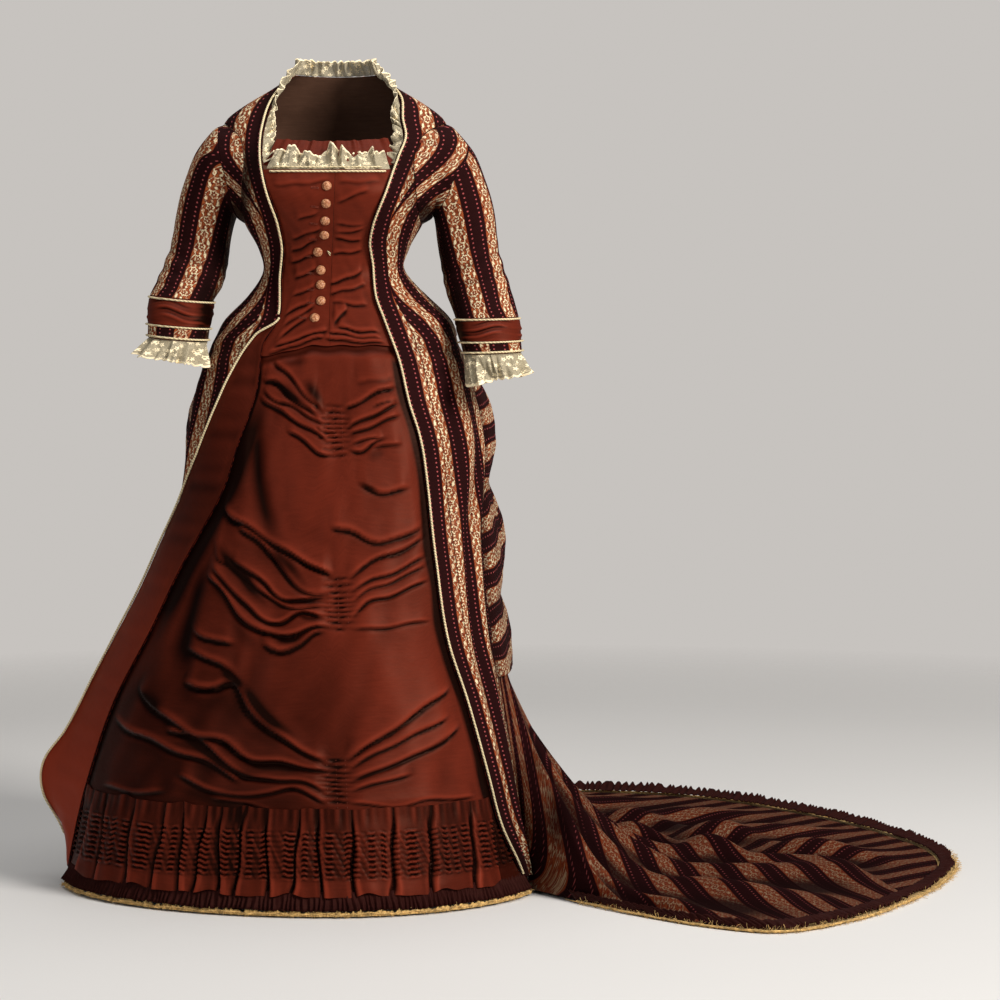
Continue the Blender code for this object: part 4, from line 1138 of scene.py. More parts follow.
def stitch_tree():
    """Raised thread bar on each point, lying along the point's run."""
    g = Growth("thread_bars", Length=0.010, Thickness=0.0006)
    line = g.node("GeometryNodeCurvePrimitiveLine")
    half = g.mul(g.get["Length"], 0.5)
    ends = [g.node("ShaderNodeCombineXYZ", {"X": side}).outputs[0] for side in (g.mul(half, -1.0), half)]
    g.put(line.inputs["Start"], ends[0])
    g.put(line.inputs["End"], ends[1])
    even = g.node("GeometryNodeResampleCurve", {"Curve": line.outputs[0], "Count": 6})
    bar = g.tube(even.outputs[0], g.get["Thickness"], 6)
    flat = g.aim(g.mark("facing", "FLOAT_VECTOR"))
    laid = g.aim(g.mark("along", "FLOAT_VECTOR"), "X", flat)
    return g.end(g.smooth(g.copies(g.get["Geometry"], bar, Rotation=laid)))


TREES = {}


def grown(piece, maker, look, values, wall=0.0):
    """Run one tree on a seed mesh and keep the result as the piece's plain mesh."""
    look = look_of(look)
    if maker not in TREES:
        TREES[maker] = maker()
    tree = TREES[maker]
    work = piece.modifiers.new("growth", "NODES")
    work.node_group = tree
    names = {item.name: item.identifier for item in tree.interface.items_tree if item.in_out == "INPUT"}
    for key, value in values.items():
        work[names[key]] = value
    work[names["Material"]] = look
    if wall > 0.0:
        thick = piece.modifiers.new("thickness", "SOLIDIFY")
        thick.thickness = wall
        thick.offset = 0.0
    bpy.context.view_layer.update()
    state = bpy.context.evaluated_depsgraph_get()
    seen = piece.evaluated_get(state)
    mesh = bpy.data.meshes.new_from_object(seen, preserve_all_data_layers=True, depsgraph=state)
    piece.modifiers.clear()
    old = piece.data
    piece.data = mesh
    bpy.data.meshes.remove(old)
    mesh.name = piece.name
    if not mesh.materials:
        mesh.materials.append(look)


def frill(seed, look, wall, *amounts):
    """Gather a strip: gather, swing, pressed, held, unevenness and seed of the frill tree."""
    labels = ("Gather", "Swing", "Pressed", "Held", "Unevenness", "Seed")
    grown(seed, frill_tree, look, dict(zip(labels, amounts)), wall)


def strip_seed(name, base, tip, out, rows, closed=False, scallop=0.0):
    """Flat strip between two lines with what the frill tree reads: run, drop and out."""
    share = np.linspace(0.0, 1.0, rows)[:, None, None]
    swing = np.abs(np.sin(across_of(base[None])[0] * math.pi / 0.011))
    tip = tip - (tip - base) * (scallop * (1.0 - swing))[:, None]
    grid = base[None] * (1.0 - share) + tip[None] * share
    columns = grid.shape[1]
    run = across_of(grid, closed)
    down = down_of(grid)
    faces, spots = quads(rows, columns, closed)[:2]
    mesh = mesh_of(name, grid.reshape(-1, 3), [], faces.tolist())
    deep = down if not closed else np.concatenate([down, down[:, :1]], axis=1)
    map_cloth(mesh, "cloth", spots, np.stack([run[0][None, :] + 0.0 * run, deep], -1))
    note(mesh, "run", np.broadcast_to(run[0][:columns], (rows, columns)))
    note(mesh, "drop", np.broadcast_to(share[:, :, 0], (rows, columns)))
    note(mesh, "out", np.broadcast_to(out, (rows, columns, 3)), True)
    mesh.polygons.foreach_set("use_smooth", np.ones(len(faces), bool))
    mesh.update()
    return linked(name, mesh)


def points_seed(name, places, facing, along=None):
    """Loose points that each know the way they face."""
    mesh = mesh_of(name, places, [], [])
    note(mesh, "facing", facing, True)
    if along is not None:
        note(mesh, "along", along, True)
    return linked(name, mesh)


def field(heights, low, high, columns, out):
    """Grid on the form between two edge angles; columns may be a count or the shares themselves."""
    heights = np.asarray(heights, float)
    spread = np.linspace(0.0, 1.0, columns) if isinstance(columns, int) else columns
    columns = len(spread)
    share = spread[None, :] + 0.0 * heights[:, None]
    low = np.asarray(low, float) + 0.0 * heights
    high = np.asarray(high, float) + 0.0 * heights
    turn = low[:, None] + (high - low)[:, None] * share
    level = np.repeat(heights[:, None], columns, axis=1)
    stand = out(turn, level, share) + 0.0 * turn
    return body(turn, level, stand), turn, level, stand


def inward_of(turn, level):
    """Way into the form, which tells cloth its inner side."""
    return -form_normal(turn, level)


def crowded(even, crowd, count):
    """Even steps drawn together where crowd is high."""
    filled = np.cumsum(crowd) - crowd[0]
    return np.interp(np.linspace(0.0, 1.0, count), filled / filled[-1], even)


def bodice_rows(lowest, low_count, round_count, high_count):
    """Heights from the lowest row to the shoulder, closer round the armhole."""
    below = np.linspace(lowest, 1.101, low_count)[:-1]
    swing = np.linspace(-math.pi / 2.0, math.pi / 2.0, round_count)
    beside = ARM_LEVEL + ARM_HOLE[0] * np.sin(swing)
    above = np.linspace(1.267, 1.344, high_count)
    return np.concatenate([below, beside, above])


# Folds of the vest, then of the apron: height, half width, and line in degrees and heights
VEST_CREASES = (
    (0.0015, 0.006, ((-21.6, 1.11), (-12.9, 1.116), (-4.2, 1.123))),
    (0.0019, 0.006, ((-30, 1.079), (-16.55, 1.087), (-3.1, 1.097))),
    (0.0019, 0.006, ((-34.4, 1.058), (-21.4, 1.067), (-8.4, 1.079))),
    (0.0025, 0.006, ((-36, 1.04), (-24.15, 1.047), (-12.3, 1.055))),
    (0.0019, 0.006, ((-32.4, 1.014), (-21.5, 1.022), (-10.6, 1.03))),
    (0.0019, 0.006, ((-30.6, 0.985), (-20.7, 0.9938), (-10.8, 1.001))),
    (0.0024, 0.006, ((-31.4, 0.958), (-21.95, 0.9678), (-12.5, 0.976))),
    (0.0021, 0.0072, ((-30.8, 0.941), (-19.9, 0.9569), (-9, 0.971))),
    (0.0021, 0.006, ((-31.8, 0.927), (-22.3, 0.9413), (-12.8, 0.954))),
    (0.0016, 0.0048, ((6.6, 1.104), (17.6, 1.102), (28.6, 1.101))),
    (0.0018, 0.0048, ((6.6, 1.089), (17.85, 1.091), (29.1, 1.095))),
    (0.0019, 0.006, ((6.6, 1.081), (18.15, 1.078), (29.7, 1.076))),
    (0.0019, 0.006, ((4.3, 1.056), (17.8, 1.057), (31.3, 1.06))),
    (0.0025, 0.006, ((1.8, 1.006), (17.25, 1.015), (32.7, 1.026))),
    (0.0018, 0.006, ((2.1, 0.991), (18.05, 0.9967), (34, 1.005))),
    (0.0018, 0.006, ((4.3, 0.978), (18.05, 0.9734), (31.8, 0.971))),
    (0.0027, 0.0072, ((5.5, 0.944), (10.9, 0.9572), (16.3, 0.966))),
    (0.0027, 0.0048, ((8.2, 0.936), (21.6, 0.9304), (35, 0.927))),
    (0.0027, 0.0036, ((1.9, 0.929), (18.8, 0.9216), (35.7, 0.917))),
    (0.0024, 0.0036, ((-0.5, 0.919), (18.15, 0.9135), (36.8, 0.911))),
    (0.0027, 0.0048, ((-32.2, 0.918), (-15.15, 0.9231), (1.9, 0.931))),
    (0.0024, 0.0036, ((-35.9, 0.91), (-18.2, 0.9136), (-0.5, 0.92))),
    (0.001, 0.0072, ((8.4, 1.171), (22.2, 1.171), (36, 1.174))),
    (0.001, 0.0072, ((-33.8, 1.167), (-15.4, 1.169), (3, 1.174))),
    (0.0014, 0.0072, ((7.5, 1.139), (17.9, 1.149), (28.3, 1.16))),
)
APRON_FOLDS = (
    (0.005, 0.01, ((-31.7, 0.885), (-17.7, 0.852), (-8.2, 0.823), (0.5, 0.800))),
    (0.0068, 0.012, ((-35.3, 0.852), (-26.3, 0.845), (-18.8, 0.827), (-10.5, 0.809), (-2.0, 0.793))),
    (0.0055, 0.009, ((-34.3, 0.835), (-27.1, 0.820), (-18.3, 0.811), (-7.7, 0.794), (1.5, 0.779))),
    (0.0055, 0.01, ((-35.7, 0.824), (-27.3, 0.810), (-19.1, 0.795), (-8.6, 0.776), (2.9, 0.755))),
    (0.0048, 0.009, ((-18.1, 0.770), (-13.7, 0.763), (-6.9, 0.749), (-1.2, 0.735), (3.5, 0.730))),
    (0.003, 0.006, ((-3.5, 0.780), (-0.3, 0.771), (3.3, 0.767))),
    (0.0046, 0.009, ((10.9, 0.804), (20.6, 0.818), (30.1, 0.833), (38.8, 0.842))),
    (0.0058, 0.009, ((12.0, 0.775), (19.8, 0.786), (29.1, 0.800), (38.7, 0.814))),
    (0.0036, 0.007, ((25.1, 0.808), (31.2, 0.813), (39.0, 0.820))),
    (0.0046, 0.008, ((12.4, 0.762), (21.3, 0.773), (30.4, 0.785), (38.6, 0.795))),
    (0.004, 0.007, ((13.6, 0.749), (21.5, 0.755), (29.6, 0.760))),
    (0.0046, 0.008, ((12.9, 0.738), (19.0, 0.738), (23.6, 0.748), (31.2, 0.759))),
    (0.0034, 0.009, ((23.5, 0.741), (30.2, 0.746), (37.9, 0.750))),
    (0.0024, 0.012, ((17.4, 0.848), (27.6, 0.848), (39.1, 0.858))),
    (0.0036, 0.012, ((16.6, 0.685), (21.4, 0.679), (27.7, 0.670), (38.9, 0.679))),
    (0.0085, 0.013, ((-45.2, 0.653), (-38.8, 0.631), (-31.5, 0.616), (-23.0, 0.600), (-10.6, 0.571),
                     (-0.6, 0.553), (5.2, 0.540))),
    (0.0062, 0.013, ((-35.4, 0.619), (-22.5, 0.584), (-15.3, 0.558), (-6.5, 0.515), (4.2, 0.513))),
    (0.007, 0.01, ((-35.9, 0.560), (-27.9, 0.547), (-20.8, 0.527), (-15.8, 0.507), (-6.5, 0.502),
                   (2.8, 0.504))),
    (0.005, 0.008, ((-44.2, 0.591), (-41.0, 0.565), (-34.7, 0.549), (-28.1, 0.532), (-20.5, 0.509),
                    (-9.3, 0.488), (2.8, 0.491))),
    (0.0078, 0.011, ((-43.8, 0.551), (-33.4, 0.517), (-26.1, 0.490), (-20.6, 0.470), (-13.5, 0.466),
                     (-7.6, 0.479), (2.9, 0.476))),
    (0.008, 0.012, ((-44.4, 0.537), (-36.1, 0.509), (-27.9, 0.472), (-19.9, 0.449), (-8.8, 0.448),
                    (-2.3, 0.456), (3.6, 0.460))),
    (0.0056, 0.013, ((-19.9, 0.433), (-12.8, 0.417), (-7.1, 0.431), (-1.4, 0.450), (3.0, 0.451))),
    (0.005, 0.012, ((-46.7, 0.452), (-41.2, 0.437), (-35.8, 0.430), (-28.9, 0.428))),
    (0.0044, 0.014, ((4.2, 0.619), (12.7, 0.609), (22.3, 0.594), (30.5, 0.595), (43.5, 0.620))),
    (0.005, 0.009, ((11.3, 0.536), (18.4, 0.558), (30.0, 0.575), (43.7, 0.599))),
    (0.0048, 0.008, ((11.9, 0.515), (19.8, 0.532), (29.2, 0.544), (43.4, 0.571))),
    (0.004, 0.007, ((12.2, 0.496), (18.0, 0.515), (27.4, 0.528), (43.1, 0.556))),
    (0.005, 0.008, ((12.1, 0.474), (17.9, 0.496), (27.0, 0.507), (43.3, 0.532))),
    (0.0032, 0.008, ((12.3, 0.454), (24.1, 0.457), (42.4, 0.466))),
    (0.006, 0.013, ((-47.3, 0.416), (-41.8, 0.409), (-34.8, 0.398), (-26.9, 0.373), (-23.1, 0.354))),
    (0.008, 0.013, ((-45.1, 0.362), (-34.6, 0.356), (-26.9, 0.362), (-22.2, 0.330), (-15.6, 0.298),
                    (-6.7, 0.272), (3.9, 0.243))),
    (0.0078, 0.012, ((-62.1, 0.345), (-50.3, 0.308), (-39.4, 0.283), (-28.8, 0.272), (-22.5, 0.253),
                     (-9.8, 0.243), (3.6, 0.233))),
    (0.0068, 0.01, ((-48.5, 0.287), (-36.5, 0.272), (-28.1, 0.243), (-21.7, 0.220), (-12.8, 0.218),
                    (-2.9, 0.213), (3.6, 0.198))),
    (0.006, 0.012, ((-71.8, 0.290), (-54.3, 0.268), (-40.2, 0.248), (-29.6, 0.232), (-22.7, 0.212))),
    (0.0056, 0.01, ((-41.7, 0.214), (-32.0, 0.197), (-23.6, 0.188), (-14.1, 0.197), (-6.1, 0.203),
                    (4.1, 0.181))),
    (0.0044, 0.008, ((-31.7, 0.184), (-20.4, 0.177), (-9.0, 0.164), (4.1, 0.165))),
    (0.003, 0.01, ((-68.5, 0.183), (-57.4, 0.180), (-45.9, 0.186))),
    (0.0066, 0.01, ((10.0, 0.252), (18.7, 0.277), (30.5, 0.312), (47.5, 0.357))),
    (0.005, 0.008, ((10.4, 0.234), (17.6, 0.256), (28.4, 0.278), (45.4, 0.310))),
    (0.006, 0.01, ((10.4, 0.214), (22.4, 0.238), (36.2, 0.260), (49.9, 0.291))),
    (0.004, 0.008, ((10.4, 0.198), (19.7, 0.213), (30.1, 0.222))),
    (0.0046, 0.008, ((10.2, 0.181), (25.9, 0.173), (34.5, 0.179), (52.5, 0.175))),
    (0.0036, 0.007, ((10.2, 0.168), (19.3, 0.165), (29.9, 0.159), (39.0, 0.169))),
)
# Shirred columns of the apron: degrees and height at the top, then at the foot
SHIRRING = ((6.0, 0.806, 6.5, 0.726), (7.5, 0.534, 7.8, 0.454), (6.5, 0.249, 7.0, 0.170))
# Edges of the flounce's flat pleats, in degrees
PLEAT_EDGES = (
    -72.5, -64.5, -54.5, -45.2, -38.2, -33.0, -27.2, -21.5, -13.5, -5.2, 1.5, 11.0, 22.5, 34.0, 48.8, 58.5,
)
# Painted shade in the hollows between the apron's folds: how dark, half width, and line in degrees and
# heights
APRON_HOLLOWS = (
    (0.6, 0.006, ((-26.6, 0.875), (-17.8, 0.877), (-8.9, 0.880))),
    (0.8, 0.009, ((-11.4, 0.843), (-4.8, 0.827), (1.3, 0.804))),
    (0.95, 0.006, ((-31.1, 0.849), (-24.0, 0.838), (-15.4, 0.819), (-7.2, 0.804))),
    (0.5, 0.008, ((21.1, 0.725), (25.4, 0.730), (30.5, 0.735))),
    (0.8, 0.005, ((17.1, 0.685), (21.2, 0.677), (25.7, 0.669))),
    (0.8, 0.009, ((-22.3, 0.583), (-15.3, 0.563), (-10.0, 0.546), (-4.3, 0.520))),
    (0.97, 0.0085, ((-43.5, 0.581), (-36.8, 0.559), (-29.9, 0.537), (-23.6, 0.510), (-17.6, 0.486))),
    (0.85, 0.003, ((-43.0, 0.545), (-33.0, 0.509), (-24.0, 0.471))),
    (0.85, 0.004, ((-14.0, 0.498), (-6.3, 0.496), (2.9, 0.496))),
    (0.75, 0.004, ((-9.1, 0.476), (-3.1, 0.470), (2.9, 0.469))),
    (0.85, 0.005, ((-19.1, 0.445), (-8.6, 0.434), (-1.5, 0.453))),
    (0.9, 0.008, ((-34.3, 0.388), (-28.9, 0.374), (-21.7, 0.354))),
    (0.5, 0.01, ((-33.3, 0.472), (-27.3, 0.445), (-20.2, 0.423))),
    (0.9, 0.01, ((-62.1, 0.345), (-55.1, 0.323), (-48.5, 0.308))),
    (0.92, 0.008, ((-27.7, 0.376), (-21.6, 0.342), (-15.8, 0.313), (-6.7, 0.286))),
    (0.88, 0.005, ((-48.4, 0.286), (-36.2, 0.258), (-26.2, 0.228), (-18.5, 0.216), (-4.5, 0.209))),
    (0.85, 0.005, ((-27.8, 0.269), (-21.3, 0.242), (-9.7, 0.234), (1.9, 0.225))),
    (0.65, 0.011, ((-42.1, 0.197), (-28.3, 0.174), (-13.6, 0.159), (-1.0, 0.152))),
    (0.85, 0.0035, ((10.2, 0.250), (20.4, 0.277), (33.4, 0.312), (47.9, 0.351))),
    (0.85, 0.004, ((11.6, 0.219), (22.3, 0.232), (36.1, 0.256), (50.6, 0.291))),
    (0.45, 0.016, ((-35.0, 0.184), (-17.6, 0.180), (2.1, 0.176))),
)


def waist_dip(turn):
    """How far the vest's lower edge hangs below its middle."""
    return 0.017 * wane(turn, -38.0, -5.0) + 0.0012 * np.sin(turn * 0.33 + 1.0)


def vest_reach(height):
    """Metres of vest to one degree, at any height."""
    return 0.0020


def apron_reach(height):
    """Metres of apron to one degree at a height."""
    return math.radians(1.0) * (0.150 + 0.160 * (1.0 - np.clip(height / 0.9, 0.0, 1.0)))


def shirring(turn, level):
    """Puckers between the three rows of gathering stitches, and the hollow they pull."""
    total = 0.0 * turn
    for top_turn, top, foot_turn, foot in SHIRRING:
        share = np.clip((top - level) / (top - foot), 0.0, 1.0)
        middle = top_turn + (foot_turn - top_turn) * share
        aside = (turn - middle) * apron_reach(level)
        inside = ease(level, foot - 0.012, foot + 0.006) * wane(level, top - 0.006, top + 0.012)
        ripple = np.sin(level / 0.0086 * math.tau + 0.9 * np.sin(aside * 60.0 + level * 30.0)
                        + 2.0 * np.sin(level * 90.0))
        ripple = ripple * (0.75 + 0.4 * noise_wave(level * 120.0 + aside * 200.0, 5))
        ripple = ripple + 0.35 * noise_wave(level * 420.0 - aside * 300.0, 8)
        strong = bell(aside, 0.0, 0.020)
        total = total + inside * (0.0019 * ripple * strong - 0.0030 * bell(aside, 0.0, 0.013))
    return total


def build_vest():
    rows = np.linspace(0.905, 1.190, 150)
    close = curve(CLOSE, rows)
    tuck_right = -curve(EDGE_RIGHT, rows) - turn_for(0.008, -38.0, rows)
    tuck_left = curve(EDGE_LEFT, rows) + turn_for(0.008, 38.0, rows)

    def relief(turn, level, share):
        pull = creases(turn, level, VEST_CREASES, vest_reach)[0]
        side = np.minimum(turn + curve(EDGE_RIGHT, level), curve(EDGE_LEFT, level) - turn)
        return 0.0002 + pull * ease(side, 0.0, 5.0) + 0.0003 * noise_wave(turn * 0.22 + level * 60.0, 2)

    gap = turn_for(0.0003, close, rows)
    for name, low, high, columns in (("vest_right", tuck_right, close - gap, 100),
                                     ("vest_left", close + gap, tuck_left, 84)):
        grid, turn, level, stand = field(rows, low, high, columns, relief)
        lowered = level - waist_dip(turn) * wane(level, 0.905, 0.975)
        grid = body(turn, lowered, stand)
        # Painted shade in the vest's hollows and under its creases, and the whole vest painted a little
        # lighter.
        shadow = creases(turn, level, VEST_CREASES, vest_reach)[1]
        shade = unit_clip(0.8 * hollows(stand, 4, 8, 0.0009) + 0.75 * shadow - 0.17)
        piece = cloth(name + "_silk", grid, WALL, "rust_silk", inward=inward_of(turn, level), shade=shade)
        sewn(piece, [name])
    places, facing, along = [], [], []
    for height, degrees in BUTTONHOLES:
        at, level = np.array(degrees), np.array(height)
        normal = form_normal(at, level)
        level_way = unit(np.cross(UP, normal))
        for lift in (-0.0009, 0.0009):
            places.append(body(at, level + lift, 0.0011 + float(relief(at, level, 0.0)) * 0.8))
            facing.append(normal)
            along.append(unit(level_way - np.array([0.0, 0.0, 0.10])))
    seed = points_seed("buttonhole_threads", places, facing, along)
    grown(seed, stitch_tree, "rust_thread", {"Length": 0.0125, "Thickness": 0.00055})
    sewn(seed, [])
    knot = points_seed("stray_thread_knot", [body(1.9, height, 0.0022) for height in (1.0560, 1.0532)],
                       [form_normal(1.9, 1.055)] * 2, [(0.75, 0.0, -0.60), (0.55, 0.0, -0.85)])
    grown(knot, stitch_tree, "cream_thread", {"Length": 0.0062, "Thickness": 0.0009})
    sewn(knot, [])


def dart(level, low, peak, high, most):
    """Cloth taken in by a dart at a height."""
    rising = ease(level, low, peak)
    falling = wane(level, peak, high)
    return most * rising * falling


def front_dart(level):
    """Cloth that the dart of a front takes in at a height."""
    most = bpy.context.scene.dress_sizes.dart_depth
    return most * ease(level, 0.900, 1.010) * wane(level, 1.095, 1.225)


def build_fronts():
    rows = np.concatenate([np.linspace(0.030, 0.900, 140)[:-1], bodice_rows(0.900, 40, 40, 14)])
    for side, sign, edge, column in (("right", -1.0, EDGE_RIGHT, 1), ("left", 1.0, EDGE_LEFT, 2)):
        seam = curve(SIDE, rows, column) - armhole(rows)
        far = seam - turn_for(SEAM_GAP, seam, rows)

        def relief(turn, level, share):
            from_edge = share if sign > 0 else 1.0 - share
            loose = wane(level, 0.74, 0.93) * ease(from_edge, 0.06, 0.4) * wane(from_edge, 0.80, 1.0)
            wave = np.sin(from_edge * 15.0 + 2.2 * np.sin(level * 5.0) + sign)
            hip = bell(level, 0.90, 0.055) * np.sin(level * 170.0 + from_edge * 5.0 + 1.0)
            bust = bell(level, 1.11, 0.05) * np.sin(from_edge * 19.0 + level * 60.0)
            middle = ease(from_edge, 0.10, 0.35) * wane(from_edge, 0.75, 1.0)
            if sign < 0:
                covered = np.clip(curve(REVERS_EDGE, level) + 5.0 + turn, 0.0, 9.0) / 9.0
                covered = covered * wane(level, 0.90, 0.94)
                loose = loose * (1.0 - covered)
                middle = middle * (1.0 - covered)
            return OVER + 0.0042 * loose * (0.55 + wave) + 0.0012 * middle * (hip + 0.5 * bust)

        front = sign * curve(edge, rows)
        low, high = (front, far) if sign > 0 else (-far, front)
        grid, turn, level, stand = field(rows, low, high, 84, relief)
        away = across_of(grid)
        if sign < 0:
            away = away[:, -1:] - away
        down = rows[-1] - level + 0.0 * away
        taken = front_dart(level)
        line = 0.0330 + 0.0290 * ease(level, 1.10, 1.215) + 0.010 * wane(level, 0.92, 1.0)
        first = np.stack([away, down], -1)
        second = np.stack([away + taken, down + 0.006], -1)
        # Painted shade by the armhole, stronger on the right front, along the side seam low down, and in
        # hollows.
        from_side = away.max(axis=1, keepdims=True) - away
        arm = ease(level, 1.06, 1.12) * wane(level, 1.20, 1.25) * wane(from_side, 0.012, 0.048)
        under = 0.7 * wane(from_side, 0.0, 0.030) * wane(level, 0.86, 0.95)
        arm = (0.95 if sign < 0 else 0.45) * arm
        shade = np.maximum.reduce([arm, under, 1.2 * hollows(stand, 8, 4, 0.0040)])
        piece = cloth("front_" + side + "_cloth", grid, WALL, "striped_seamed_cloth", shade=shade,
                      inward=inward_of(turn, level), uv=first, beyond=second, seam=away - line, lined=True)
        sewn(piece, ["front_" + side])
    rows = bodice_rows(0.915, 60, 36, 14)
    side = curve(SIDE, rows) + armhole(rows)
    gap = turn_for(SEAM_GAP, side, rows)

    def back_relief(turn, level, share):
        return OVER + 0.0008 * np.sin(level * 120.0 + np.sin(turn * 0.1) * 3.0) * bell(level, 1.02, 0.05)

    grid, turn, level, stand = field(rows, side + gap, 360.0 - side - gap, 151, back_relief)
    away = across_of(grid) - across_of(grid)[:, 75:76]
    away = away + 0.016
    down = rows[-1] - level
    taken = dart(level, 0.900, 1.030, 1.215, 0.040) * np.sign(away - 0.016)
    seam = np.abs(away - 0.016) - 0.052
    first = np.stack([away, down], -1)
    second = np.stack([away + taken, down + 0.008], -1)
    piece = cloth("bodice_back_cloth", grid, WALL, "striped_seamed_cloth",
                  inward=inward_of(turn, level), uv=first, beyond=second, seam=seam, lined=True)
    sewn(piece, ["bodice_back"])


def build_drape():
    rows = np.concatenate([np.linspace(0.355, 0.890, 150), np.linspace(0.893, 0.940, 10)])
    left = curve(SIDE, rows, 2)
    right = 360.0 - curve(SIDE, rows, 1)
    tucked = ease(rows, 0.800, 0.860)
    gap = turn_for(0.0006, left, rows) * tucked - turn_for(0.0040, left, rows) * (1.0 - tucked)

    def relief(turn, level, share):
        fall = level + 0.045 * (1.0 - np.cos(np.radians(turn - 180.0))) + 0.006 * noise_wave(turn * 0.09, 5)
        part = np.clip((0.900 - fall) / 0.190, 0.0, 2.999)
        inside = part - np.floor(part)
        number = np.floor(part)
        bulge = np.sin(math.pi * inside ** 1.3) ** 0.8
        gather = 0.5 + 0.5 * np.cos(np.radians(turn * 14.0) + 2.0 * number)
        fine = noise_wave(turn * 0.55 + 3.0 * number + 4.0 * inside, 7, 4)
        edge = ease(turn, 88.0, 130.0) * wane(turn, 240.0, 270.0)
        top = wane(level, 0.860, 0.9125)
        bulge = bulge * (0.6 + 0.4 * ease(level, 0.355, 0.450))
        puff = (0.022 + 0.010 * edge) * bulge + 0.005 * gather * bulge
        puff = puff + 0.0038 * fine * (0.3 + 0.7 * inside) * bulge ** 0.5
        cross = 0.0020 * np.sin(level * 160.0 + 3.0 * np.sin(np.radians(turn * 3.0))) * (1.0 - edge) * bulge
        rim = ease(share, 0.0, 0.03) * wane(share, 0.97, 1.0)
        return 0.0012 + top * (0.0056 + (puff + cross) * (0.20 + 0.80 * edge)) * (0.35 + 0.65 * rim)

    grid, turn, level, stand = field(rows, left + gap, right - gap, 180, relief)
    down = down_of(grid[::-1])[::-1]
    slant = 0.10 * wane(turn, 80.0, 120.0) * across_of(grid)
    down = blurred(down, 3, 3) + 0.007 * noise_wave(turn * 0.11 + level * 16.0, 4)
    spot = np.stack([down + slant, across_of(grid)], -1)
    # Painted shade over the whole drape, in its hollows, and darker near its left side.
    shade = 0.22 + 1.5 * hollows(stand, 9, 7, 0.0100) + 0.25 * wane(turn, 76.0, 90.0)
    shade = np.maximum(shade, np.clip(hollows(stand, 2, 4, 0.0030), 0.0, 1.0))
    piece = cloth("back_drape_cloth", grid, WALL, "striped_cloth", inward=inward_of(turn, level), uv=spot,
                  shade=unit_clip(shade))
    sewn(piece, ["back_drape"])


